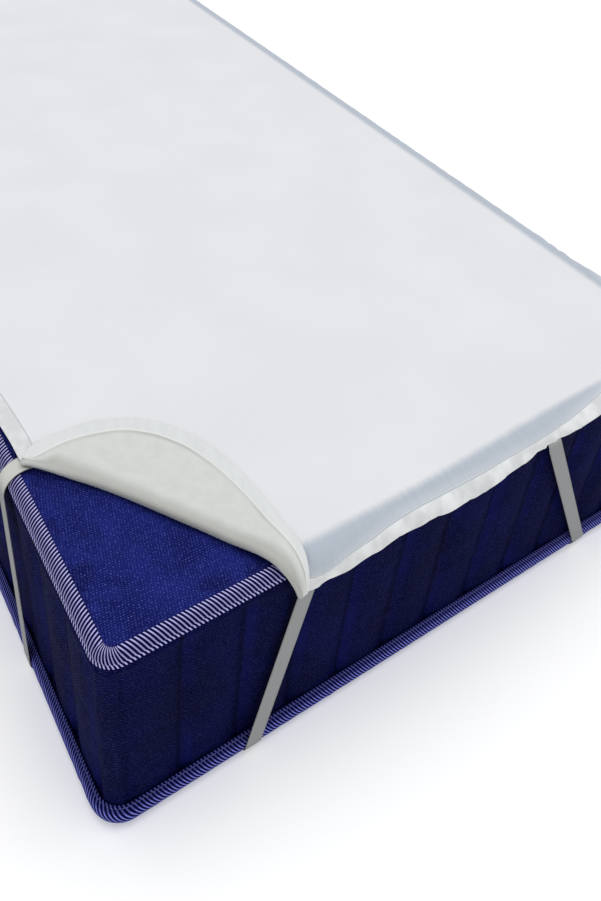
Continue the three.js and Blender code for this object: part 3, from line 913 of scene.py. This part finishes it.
def sheet_edge():
    """Points along the edge of the lying part, anticlockwise, and whether each is on the fold."""
    edge = []

    def run(start, stop, step, hem=None):
        steps = round((stop - start).length / step)
        for i in range(steps):
            p = start.lerp(stop, i / steps)
            edge.append((hem(p) if hem else p, False))

    def bend(curve, steps):
        edge.extend((bezier(curve, i / steps), False) for i in range(steps))

    near_right = corner_cut(1, -1, CUT["right"])
    far_right = corner_cut(1, 1, CUT["right"])[::-1]
    far_left = corner_cut(-1, 1, CUT["left"])
    run(FOLD_B, near_right[0], 6, lambda p: Vector((p.x, front_hem(p.x))))
    bend(near_right, 72)
    run(near_right[3], far_right[0], 9)
    bend(far_right, 50)
    run(far_right[3], far_left[0], 9)
    bend(far_left, 50)
    run(far_left[3], FOLD_A, 9, lambda p: Vector((left_hem(p.y), p.y)))
    edge.extend((on_chord(s, bow(s)), True) for s in fold_stations[:-1])
    return edge


edge = sheet_edge()
print("sheet edge:", len(edge), "points")

# %% Let the hem stand out
HELD = 64


def strap_hold(p):
    """1 where the hem is free and 0 where a strap holds it."""
    hold = 1.0
    for s in STRAPS:
        end = math.hypot(p.x - s["x"] * (WIDTH / 2 - s["end"]), p.y - s["y"] * CUT["front"])
        side = math.hypot(p.x - s["x"] * CUT["right"], p.y - s["y"] * (LENGTH / 2 - s["side"]))
        hold *= (1 - math.exp(-((end / HELD) ** 2))) * (1 - math.exp(-((side / HELD) ** 2)))
    return hold


def hem_flare(p, along):
    """How far the hem stands out: waves of uneven length, calm where a strap holds it."""
    wave = math.sin(along / 27) * 0.6 + math.sin(along / 43 + 1.3) * 0.4
    hanging = 0.2 + 0.8 * smooth(from_turn(p.x, p.y)[0] / DRAPE_ARC)
    return FLARE * strap_hold(p) * hanging * (1 - WAVE + WAVE * wave)


print("the hem stands out by up to", FLARE, "mm")

# %% [markdown]
# ## The protector sheet: its small shapes
# A hem is the cloth folded over twice and sewn, so it stands up as a soft tube, with a dent along its
# seam. The cloth between the seam and the mattress edge ripples where it is gathered, and pulls into a V
# at each strap. On top there are only wide, faint waves. A sculpting brush could draw these. Here they
# are heights that are added to the laid surface, so their sizes are known.

# %% Describe the hem
HEM_RINGS = [0, 0.8, 2.2, 4.5, 7.5, 11, 14.5, 17, 18.6, 19.8, 21.2, 23.2, 26]
SEAM_AT = 19.8
TURN_RINGS = [43, 38, 33, 28, 23, 18, 13, 8, 3, -3, -9, -16, -24, -34, -45]
INNER_RINGS = 9
CORE = {"x": 100, "y": 650, "r": 150}
BODY_SIDE = 0.5
OFF_HEM = 60.0


def hem_puff(d):
    """How much the folded hem swells on one side, at the length d from its edge."""
    if d <= SEAM_AT:
        return max(math.sin(math.pi * clamp(d / SEAM_AT, 0, 1)), 0) ** 0.55
    return 0.0


def seam_dent(d):
    ridge = math.exp(-(((d - 23.0) / 1.5) ** 2))
    return 0.25 * ridge - 0.3 * math.exp(-(((d - SEAM_AT) / 1.0) ** 2))


def ripple(along, d, scale, seed):
    """Uneven small waves along the hem, drawn out across it."""
    return noise.noise(Vector((along / scale, d / 60, seed)))


print("the hem's seam lies", SEAM_AT, "mm from its edge")

# %% Describe the pulls and the waves
PULL_REACH = 170


def strap_pull(p):
    """Creases that run together at a strap, with the cloth drawn in at its middle."""
    pull = 0.0
    for s in STRAPS:
        on_end = Vector((s["x"] * (WIDTH / 2 - s["end"]), s["y"] * (CUT["front"] - 4)))
        on_side = Vector((s["x"] * (CUT["right"] - 4), s["y"] * (LENGTH / 2 - s["side"])))
        for spot, inward in ((on_end, Vector((0, -s["y"]))), (on_side, Vector((-s["x"], 0)))):
            off = p - spot
            reach = off.length
            if reach > PULL_REACH or reach < 1e-6:
                continue
            angle = math.atan2(off.x * inward.y - off.y * inward.x, off.dot(inward))
            fan = math.sin(angle * 9.0) * smooth(reach / 24) * math.exp(-((reach / 62) ** 2))
            pull += 1.5 * fan - 1.8 * math.exp(-((reach / 26) ** 2))
    return pull


def lying_height(u, v, d, along, q):
    """What is added to the laid sheet, outwards, in mm."""
    p = Vector((u, v))
    on_top = 1 - smooth((q + 12) / 26)
    broad = 0.5 + 0.5 * noise.noise(Vector((u / 190, v / 240, 2.0)))
    crease = noise.noise(Vector((u / 42, v / 300, 5.0)))
    top = on_top * (1.5 * broad + 0.25 * crease + 0.25)
    over = smooth((q + 22) / 24) * strap_hold(p)
    ribs = over * (0.9 * ripple(along, d * 0.4, 17, 1.0) + 0.55 * ripple(along, d * 0.3, 8, 3.0))
    slant = along + d * 0.9
    hem = smooth((30 - d) / 14) * (1.5 * ripple(slant, d, 24, 6.0) + 0.9 * ripple(slant, d, 11, 8.0))
    return top + ribs + hem * smooth(q / 20 + 0.3) + strap_pull(p) * smooth((q + 40) / 40)


print("pulls and waves described")

# %% [markdown]
# ## The protector sheet: its points
# The lying part is laid in rings. Each ring runs round the sheet at one length from its edge, close
# together at the hem and at the mattress edge, and wide apart on the flat top. A plain grid would cut
# across the hem and its seam, and rings follow them. The middle is filled with even triangles.

# %% Keep the sheet's points
points, faces, flat_chart, hem_chart, fold_chart = [], [], [], [], []
outside, inside, added = [], [], []
BEFORE_FOLD = -100.0


def add_point(place, flat, along, d, raised, flap=False, past_fold=BEFORE_FOLD):
    points.append(place)
    fold_chart.append((past_fold, 0.0))
    flat_chart.append((flat.x, flat.y))
    hem_chart.append((along, min(d, OFF_HEM)))
    puff = hem_puff(d)
    dent = seam_dent(d)
    thin = mix(0.35, BODY_SIDE, smooth(d / 1.5))
    outside.append(thin + (0.4 * puff if flap else 1.1 * puff + dent))
    inside.append(thin + (0.75 * puff + dent if flap else 0.25 * puff))
    added.append(raised)
    return len(points) - 1


def add_face(*corners):
    distinct = tuple(dict.fromkeys(corners))
    if len(distinct) > 2:
        faces.append(distinct)


print("point store ready")

# %% Find a ring's place
HEM_TUCK, TUCK_AT, TUCK_REACH = 0.4, 125, 62


def crossing(p, inward, reach, q):
    """The length inwards at which a line crosses the ring at q from the turn line."""
    if from_turn(p.x, p.y)[0] <= q:
        return 0.0
    near, far = 0.0, reach
    for _ in range(24):
        middle = (near + far) / 2
        if from_turn(p.x + inward.x * middle, p.y + inward.y * middle)[0] > q:
            near = middle
        else:
            far = middle
    return far


def hem_seen(p):
    """The share of the hem that shows: at the right strap its edge is turned under."""
    if p.y > 0:
        return 1.0
    return 1 - HEM_TUCK * math.exp(-(((p.x - TUCK_AT) / TUCK_REACH) ** 2))


print("the hem is turned under by up to", HEM * HEM_TUCK, "mm")

# %% Lay the rings
FOLD_RING, LEAST_RING = 1.2, 2.5
lines = []
along = 0.0
for i, (p, fold) in enumerate(edge):
    along += (p - edge[max(0, i - 1)][0]).length
    flare = 0.0 if fold else hem_flare(p, along)
    centre = Vector((clamp(p.x, -CORE["x"], CORE["x"]), clamp(p.y, -CORE["y"], CORE["y"])))
    reach = (centre - p).length - CORE["r"]
    inward = (centre - p).normalized()
    seen = hem_seen(p)
    lengths = [FOLD_RING * k for k in range(len(HEM_RINGS))] if fold else [d * seen for d in HEM_RINGS]
    for q in TURN_RINGS:
        lengths.append(max(crossing(p, inward, reach, q), lengths[-1] + LEAST_RING))
    last = lengths[-1]
    lengths += [mix(last, reach, (k + 1) / INNER_RINGS) for k in range(INNER_RINGS)]
    line = []
    for ring, d in enumerate(lengths):
        m = p + inward * d
        q = from_turn(m.x, m.y)[0]
        out = drape_normal(m.x, m.y) * flare * (1 - smooth(d / FLARE_DEPTH))
        hem_at = d / seen if ring < len(HEM_RINGS) else d + HEM_RINGS[-1] * (1 - seen)
        if fold:
            hem_at = OFF_HEM
        raised = lying_height(m.x, m.y, hem_at, along, q)
        if fold:
            raised *= smooth(d / 40)
        line.append(add_point(drape(m.x, m.y) + out, m, along, hem_at, raised))
    lines.append(line)
for line, after in zip(lines, lines[1:] + lines[:1]):
    for k in range(len(line) - 1):
        add_face(line[k], after[k], after[k + 1], line[k + 1])
print("rings laid:", len(points), "points")

# %% Fill the middle of the sheet
CORE_GRID = 24
FAR_INSIDE = -200.0
border = [line[-1] for line in lines]
flat_points = [Vector(flat_chart[i]) for i in border]
for gx in range(-10, 11):
    for gy in range(-33, 34):
        p = Vector((gx * CORE_GRID, gy * CORE_GRID))
        c = Vector((clamp(p.x, -CORE["x"], CORE["x"]), clamp(p.y, -CORE["y"], CORE["y"])))
        if (p - c).length < CORE["r"] - CORE_GRID / 2:
            flat_points.append(p)
rim = [(i, (i + 1) % len(border)) for i in range(len(border))]
found = delaunay_2d_cdt(flat_points, rim, [], 1, 1e-6)
ids = {}
for i, sources in enumerate(found[3]):
    p = found[0][i]
    if sources and sources[0] < len(border):
        ids[i] = border[sources[0]]
    else:
        raised = lying_height(p.x, p.y, OFF_HEM, 0.0, FAR_INSIDE)
        ids[i] = add_point(drape(p.x, p.y), p, 0.0, OFF_HEM, raised)
for face in found[2]:
    a, b, c = (found[0][i] for i in face)
    turned = [ids[i] for i in face]
    add_face(*(turned if (b - a).cross(c - a) > 0 else turned[::-1]))
print("middle filled:", len(points), "points,", len(faces), "faces")

# %% [markdown]
# ## The turned corner
# The flap starts as a soft roll along the fold and then settles on the sheet. Its underside now faces
# up, with the turned-over hem along its arc. The hem is stiffer than the rest, so it lies a little
# higher and keeps small waves. A simple mirrored copy of the corner would lie flat and have no roll, so
# the roll and the flap are laid as rows of points that go on from the fold.

# %% Describe the roll and the flap
ROLL_STEPS = 12
FLAP_STEPS = 26
MOST_HEM = 0.6
DRAWN_UP, DRAWN_FROM = 8, 0.88


def gathered(s):
    """The roll is drawn up a little at its front end, beside the near left strap."""
    return s - DRAWN_UP * smooth((s / fold_length - DRAWN_FROM) / 0.12)


def roll_point(s, a):
    s = gathered(s)
    at = on_chord(s, bow(s))
    base = drape(at.x, at.y)
    past = on_chord(s, bow(s) - 1)
    to_corner = (drape(past.x, past.y) - base).normalized()
    r = roll_radius(s)
    up = drape_normal(at.x, at.y)
    return base + up * r * (1 - math.cos(a)) + to_corner * r * math.sin(a)


def flap_point(s, arc, share):
    s, arc = gathered(s), Vector((gathered(arc.x), arc.y))
    along_chord = mix(s, arc.x, share)
    away = mix(bow(s), arc.y, share)
    at = on_chord(along_chord, away)
    settled = smooth((away - bow(s)) / FLAP_SETTLE)
    height = mix(2 * roll_radius(s), FLAP_CLEAR, settled)
    return drape(at.x, at.y) + drape_normal(at.x, at.y) * height, along_chord, away


def flap_height(chord, away, length, d):
    """What is added to the flap. Its outward side faces down, so a wave up is less than 0."""
    calm = smooth(length / 60)
    waves = 0.7 * noise.noise(Vector((chord / 34, away / 90, 4.0)))
    hem = smooth((34 - d) / 16) * (0.9 + 0.8 * noise.noise(Vector((chord / 19, 0.3, 9.0))))
    return -calm * (waves + hem + 0.35)


print("roll and flap described")

# %% Roll back the corner
fold_points = [line[0] for line in lines[-FOLD_STEPS:]] + [lines[0][0]]
hem_run = [0.0]
for i in range(1, FOLD_STEPS + 1):
    before = bezier(FLAP_ARC, fold_stations[i - 1] / fold_length)
    after = bezier(FLAP_ARC, fold_stations[i] / fold_length)
    hem_run.append(hem_run[-1] + (after - before).length)
rows = []
for i, start in enumerate(fold_points):
    s = fold_stations[i]
    arc = bezier(FLAP_ARC, s / fold_length)
    row = [start]
    for k in range(1, ROLL_STEPS + 1):
        turned = roll_radius(s) * math.pi * k / ROLL_STEPS
        back = on_chord(s, bow(s) - turned)
        place = roll_point(s, math.pi * k / ROLL_STEPS)
        row.append(add_point(place, back, hem_run[i], OFF_HEM, 0.0, True, turned))
    length = max(arc.y - bow(s), 1.0)
    across_flap = arc - Vector((s, bow(s)))
    t = s / fold_length
    edge_way = (bezier(FLAP_ARC, t + 0.01) - bezier(FLAP_ARC, t - 0.01)).normalized()
    square = abs(across_flap.x * edge_way.y - across_flap.y * edge_way.x)
    hem = 1 / math.hypot(max(square, 1.0) / HEM, 1 / MOST_HEM)
    wide = hem * HEM_RINGS[-1] / HEM
    places = [(mix(0, 1 - wide, (k + 1) / FLAP_STEPS), None) for k in range(FLAP_STEPS)]
    places += [(1 - hem * d / HEM, d) for d in HEM_RINGS[-2::-1]]
    for share, d in places:
        if i == 0:
            row.append(row[ROLL_STEPS])
            continue
        place, chord, away = flap_point(s, arc, share)
        d = (1 - share) * HEM / hem if d is None else d
        back = on_chord(chord, 2 * bow(s) - away - math.pi * roll_radius(s))
        raised = flap_height(chord, away, length, d)
        past = math.pi * roll_radius(s) + max(away - bow(s), 0.0)
        row.append(add_point(place, back, hem_run[i], d, raised * smooth(share * 4), True, past))
    rows.append(row)
for row, after in zip(rows, rows[1:]):
    for k in range(len(row) - 1):
        add_face(row[k + 1], after[k + 1], after[k], row[k])
print("with the flap:", len(points), "points,", len(faces), "faces")

# %% [markdown]
# ## The protector's cloth and its film
# The outside is a fine white knit. Close up it has small wales, and where one layer hangs over the dark
# mattress it looks a little blue-grey, while the doubled hem stays white. Real cloth lets a little dark
# through there. A see-through shader is noisy and slow, so the tint is a colour by the place on the
# cloth, and it also holds painted shade for the hanging cloth. Grey waves on the hem are painted shade
# of its puffs. The inside is a thin waterproof film: smooth, creamy, slightly glossy and faintly
# mottled, with the hem's cloth turned over it. On the film, the shade of the roll, a shadow inside the
# hem's edge and a highlight on that edge are painted into its colour.

# %% Make the white cloth
WALE = 0.0011
COURSE = 0.0013


def knit(across, along):
    wales = (across / WALE * TURN).sine() * 0.5 + 0.5
    courses = (along / COURSE * TURN).sine() * 0.5 + 0.5
    return wales * 0.55 + courses * 0.45


white_cloth = Finish("white_knit")
across, along_cloth, _ = white_cloth.split(white_cloth.chart("flat"))
hem_along, hem_from, _ = white_cloth.split(white_cloth.chart("hem"))
weave = knit(across, along_cloth)
faint = white_cloth.cloud(white_cloth.place(), 7.0, 3.0)
speck = white_cloth.cloud(white_cloth.vector(across * 900, along_cloth * 500), 1.0, 2.0)
rib_place = white_cloth.vector(hem_along * 380, hem_from * 18)
ribs = white_cloth.cloud(rib_place, 1.0, 2.0)
print("knit ready")

# %% Colour the white cloth
past_side = across.maths("ABSOLUTE") - TURN_X * MM
past_end = along_cloth.maths("ABSOLUTE") - TURN_Y * MM
past_turn = past_side.maths("MAXIMUM", past_end)
to_the_right = across.rise(-0.10, 0.25) * 0.012
over_edge = (past_turn + to_the_right + (ribs - 0.5) * 0.003).rise(-0.004, 0.009)
one_layer = hem_from.rise(0.0190, 0.0230) * over_edge
near_hem = 1 - hem_from.rise(0.021, 0.034)
seam_line = hem_from.bump_from(0.0190, 0.0196, 0.0201, 0.0209)
plain = white_cloth.blend(faint.rise(0.3, 0.7), rgb(0.728, 0.735, 0.750), rgb(0.752, 0.759, 0.774))
doubled = 1 - hem_from.rise(0.0185, 0.0200)
# Painted shade: soft grey waves along the hem stand in for the shade of its puffs.
hem_wave_shade = white_cloth.cloud(white_cloth.vector(hem_along * 42, hem_from * 30), 1.0, 3.0)
hem_shade_share = hem_wave_shade.rise(0.36, 0.66)
hem_cloth = white_cloth.blend(hem_shade_share, rgb(0.64, 0.65, 0.645), rgb(0.80, 0.815, 0.81))
base = white_cloth.blend(doubled, plain, hem_cloth)
# The hanging single layer is darkened and tinted blue-grey: partly the navy showing through, partly painted
# shade.
shade_and_show_through = one_layer * (0.80 + ribs * 0.25) * (1 - near_hem * 0.3)
tinted_and_shaded = white_cloth.blend(shade_and_show_through, base, rgb(0.43, 0.475, 0.54))
lined = white_cloth.blend(seam_line * 0.8, tinted_and_shaded, rgb(0.34, 0.40, 0.45))
specked = white_cloth.blend(speck.rise(0.5, 0.9) * 0.10, lined, rgb(0.60, 0.63, 0.65))
white_cloth.feed("Base Color", specked)
white_cloth.feed("Roughness", 0.8 + weave * 0.12)
white_cloth.set(Specular_IOR_Level=0.2, Sheen_Weight=0.12, Sheen_Roughness=0.45)
grain = white_cloth.emboss(weave * 0.6 + speck * 0.4, 0.00012, 0.5)
edge_ribs = hem_from.bump_from(0.020, 0.024, 0.044, 0.057)
white_cloth.feed("Normal", white_cloth.emboss(ribs * edge_ribs, 0.0012, 0.5, grain))
print("white cloth ready")

# %% Make the film on the underside
film = Finish("waterproof_film")
across, along_cloth, _ = film.split(film.chart("flat"))
hem_along, hem_from, _ = film.split(film.chart("hem"))
turned_over = 1 - hem_from.rise(0.0192, 0.0200)
mottle = film.cloud(film.vector(across, along_cloth), 70.0, 5.0, 0.65)
streak = film.cloud(film.vector(across * 25, along_cloth * 110), 1.0, 3.0)
film_weave = knit(across, along_cloth)
cream = film.blend(mottle.rise(0.25, 0.75), rgb(0.590, 0.605, 0.575), rgb(0.640, 0.655, 0.622))
hem_white = film.blend(streak.rise(0.3, 0.7), rgb(0.665, 0.68, 0.675), rgb(0.70, 0.715, 0.71))
whole = film.blend(turned_over, cream, hem_white)
# Painted highlight on the turned hem's edge, and a painted shadow on the film just inside it, where the hem
# lies over the film.
hem_edge_highlight = hem_from.bump_from(0.0170, 0.0186, 0.0200, 0.0208)
hem_edge_shadow = hem_from.bump_from(0.0200, 0.0208, 0.0214, 0.0270)
shadow_unevenness = film.cloud(film.vector(hem_along * 9, 0.0), 1.0, 2.0).rise(0.35, 0.65)
# Painted shade: the film darkens where its surface turns from facing up, and along the roll as roll_shade.
_, _, facing_up = film.split(film.node("ShaderNodeNewGeometry", output=1))
turn_shade = (1 - facing_up.rise(0.15, 0.92)) * hem_from.rise(0.030, 0.045)
past_fold, _, _ = film.split(film.chart("fold"))
roll_shade = past_fold.bump_from(0.007, 0.012, 0.015, 0.034) * hem_from.rise(0.024, 0.040)
turn_shaded = film.blend(turn_shade * 0.35, whole, rgb(0.21, 0.205, 0.175))
rolled = film.blend(roll_shade * 0.55, turn_shaded, rgb(0.27, 0.265, 0.235))
lit = film.blend(hem_edge_highlight * 0.6, rolled, rgb(0.80, 0.81, 0.77))
lit_and_shadowed = film.blend(hem_edge_shadow * (0.15 + shadow_unevenness * 0.4), lit, rgb(0.33, 0.34, 0.32))
film.feed("Base Color", lit_and_shadowed)
film.feed("Roughness", turned_over * 0.34 + 0.46 + mottle * 0.08)
film.set(Specular_IOR_Level=0.35, Sheen_Weight=0.05)
film_grain = film.emboss(film_weave * (0.15 + turned_over * 0.85), 0.00012, 0.5)
film.feed("Normal", film.emboss(mottle * 0.6 + streak * 0.4, 0.0008, 0.35, film_grain))
print("film ready")

# %% [markdown]
# ## Closing the sheet and sewing its hem
# The small heights are added outwards, then the surface becomes a closed piece with the knit on one side
# and the film on the other. The hem's stitches lie on its seam ring, on the outside where the sheet lies,
# and on the film side where it is turned back.

# %% Close the sheet
first_normals = surface_normals(points, faces)
points = [p + n * h for p, n, h in zip(points, first_normals, added)]
charts = {"flat": flat_chart, "hem": hem_chart, "fold": fold_chart}
sides = [white_cloth, film]
protector, upper, lower = cloth("protector", points, faces, outside, inside, charts, sides)
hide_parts("protector_sheet")


# %% Stitch the hem
k = HEM_RINGS.index(SEAM_AT)
normals = surface_normals(points, faces)
hem_lines = [line for line, (p, fold) in zip(lines, edge) if not fold]
lying_seam = [(upper[line[k]], normals[line[k]]) for line in hem_lines]
flap_k = ROLL_STEPS + FLAP_STEPS + (len(HEM_RINGS) - 1 - k)
flap_seam = [(lower[row[flap_k]], -normals[row[flap_k]]) for row in rows[3:-3]]
hem_sewing = sew(
    "hem_stitches", [lying_seam, flap_seam], pitch=3.4, length=2.3, thick=0.4,
    finish=white_thread,
)

# %% [markdown]
# ## The elastic straps
# A flat elastic band runs from the end hem under the mattress corner to the side hem. Its ends are tucked
# under the hem and it is stretched, so it runs straight down the side, bends round the bottom roll and
# crosses slantwise beneath the corner. A curve with a flat bevel can twist where it bends two ways. So it
# is laid as rows of points across the band, along the same route as in the CAD model.

# %% Repeat the strap's route
STRAP_W, STRAP_T, STRAP_GAP = 21, 1, 0.6
STRAP_HEM_LIFT, STRAP_DIP, STRAP_TUCK, STRAP_UNDER_Z = 4.8, 3.2, 24, 0.9
CAD_TAPE_GAP, CAD_TAPE_EDGE = 0.5, 1.2
ROLL_FROM, ROLL_TO, ROLL_POWER = BOTTOM_TAPE["from"], BOTTOM_TAPE["to"], BOTTOM_TAPE["power"]
ROLL_STEP, LEG_STEPS, UNDER_STEPS = 1.25, 24, 30


def roll_outside(q):
    """A place on the outside of the CAD model's bottom tape."""
    share = clamp((q - ROLL_FROM) / (ROLL_TO - ROLL_FROM), 0, 1)
    swell = math.sin(math.pi * share ** ROLL_POWER)
    lift = CAD_TAPE_GAP + CAD_TAPE_EDGE + (BOTTOM_TAPE["roll"] - CAD_TAPE_EDGE) * swell
    out, z, n_out, n_up = skin(q)
    return Vector((out + n_out * lift, z + n_up * lift))


def off_roll(q):
    along = (roll_outside(q + 0.5) - roll_outside(q - 0.5)).normalized()
    n = Vector((-along.y, along.x))
    return roll_outside(q) + n * (STRAP_GAP + STRAP_T / 2), n


def off_skin(q):
    out, z, n_out, n_up = skin(q)
    n = Vector((n_out, n_up))
    return Vector((out, z)) + n * (STRAP_HEM_LIFT - STRAP_DIP * smooth(-q / 14)), n


peak = ROLL_FROM + 0.5 ** (1 / ROLL_POWER) * (ROLL_TO - ROLL_FROM)
print("a strap lies on the bottom roll from", round(peak, 1), "mm down the skin")


# %% Follow one strap
def strap_leg(top, start, stop, put):
    """One leg, from its tucked end down to the floor."""
    hem = max(top + STRAP_TUCK, TOP_ARC + 4)
    steps = round((hem - top) / 3)
    places = [(mix(top, hem, k / steps), *off_skin(mix(top, hem, k / steps))) for k in range(steps)]
    last, n = off_skin(hem)
    first_on_roll, _ = off_roll(peak)
    for k in range(LEG_STEPS):
        share = k / LEG_STEPS
        places.append((mix(hem, peak, share), last.lerp(first_on_roll, share), n))
    q = peak
    while q < ROLL_TO:
        p, n = off_roll(q)
        if p.y > STRAP_UNDER_Z:
            places.append((q, p, n))
        q += ROLL_STEP
    inward = places[-1][1].x - 5
    places.append((SIDE_END, Vector((inward, STRAP_UNDER_Z)), Vector((0, -1))))
    return [put(mix(start, stop, min(1, (q - top) / (peak - top))), p, n) for q, p, n in places]


def strap_route(s):
    x, y = s["x"], s["y"]

    def on_end(along, p, n):
        return Vector((x * (WIDTH / 2 - along), y * (LENGTH / 2 + p.x), p.y)), Vector((0, y * n.x, n.y))

    def on_side(along, p, n):
        return Vector((x * (WIDTH / 2 + p.x), y * (LENGTH / 2 - along), p.y)), Vector((x * n.x, 0, n.y))

    end_leg = strap_leg(s["end_top"], s["end"], s["end_under"], on_end)
    side_leg = strap_leg(s["side_top"], s["side"], s["side_under"], on_side)
    start, stop = end_leg[-1][0], side_leg[-1][0]
    down = Vector((0, 0, -1))
    under = [(start.lerp(stop, k / UNDER_STEPS), down) for k in range(1, UNDER_STEPS)]
    return end_leg + under + side_leg[::-1]


print("strap routes ready")

# %% [markdown]
# ## The woven elastic
# Elastic is woven with thick cords along it and thin picks across. On the band both are waves along its own
# length and width, and the picks bend round the cords. Where the band lies up on the mattress edge its
# colour is lighter, as painted light, and on the sides it is greyer, as painted shade. A darker line runs
# along each of its edges.

# %% Make the woven elastic
elastic = Finish("woven_elastic")
band_along, band_across, _ = elastic.split(elastic.chart("band"))
cords = (band_across / 0.00093 * TURN).sine() * 0.5 + 0.5
picks = (band_along / 0.0011 * TURN + cords * 2.4).sine() * 0.5 + 0.5
fibre = elastic.cloud(elastic.vector(band_along * 900, band_across * 2400), 1.0, 2.0)
pattern = cords * 0.5 + picks * 0.3 + fibre * 0.2
# Two colours of one elastic: a grey one with painted shade where it hangs, a light one with painted light
# where it lies on top.
hanging = elastic.blend(pattern.rise(0.15, 0.8), rgb(0.23, 0.236, 0.236), rgb(0.36, 0.368, 0.37))
lying = elastic.blend(pattern.rise(0.15, 0.8), rgb(0.50, 0.50, 0.47), rgb(0.70, 0.69, 0.65))
_, _, band_z = elastic.split(elastic.place())
band_lit_and_shaded = elastic.blend(band_z.rise(0.278, 0.300), hanging, lying)
edge_cord = band_across.bump_from(0.0003, 0.0009, 0.0201, 0.0207)
elastic.feed("Base Color", elastic.blend(edge_cord, rgb(0.27, 0.27, 0.26), band_lit_and_shaded))
elastic.feed("Roughness", 0.9 - pattern * 0.2)
elastic.set(Specular_IOR_Level=0.2)
elastic.feed("Normal", elastic.emboss(pattern, 0.0005, 0.6))
print("elastic ready")

# %% Lay the straps
BAND_COLUMNS = 8
BAND_HALF, BAND_THINNER = 0.42, 0.14
for s in STRAPS:
    route = strap_route(s)
    length = 0.0
    band_points, band_flat, half = [], [], []
    for i, (p, n) in enumerate(route):
        before, after = route[max(0, i - 1)][0], route[min(len(route) - 1, i + 1)][0]
        across = n.cross(after - before).normalized()
        length += (p - before).length
        for k in range(BAND_COLUMNS + 1):
            w = STRAP_W * (k / BAND_COLUMNS - 0.5)
            band_points.append(p + across * w)
            band_flat.append((length, w + STRAP_W / 2))
            half.append(BAND_HALF - BAND_THINNER * (abs(w) / STRAP_W * 2) ** 4)
    wide = BAND_COLUMNS + 1
    band_faces = [
        (i * wide + k, i * wide + k + 1, (i + 1) * wide + k + 1, (i + 1) * wide + k)
        for i in range(len(route) - 1) for k in range(BAND_COLUMNS)
    ]
    name = "elastic_" + s["name"]
    strap, _, _ = cloth(name, band_points, band_faces, half, half, {"band": band_flat}, [elastic])
    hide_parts("strap_" + s["name"])
    length * MM
    print(name, "is", round(length), "mm long")
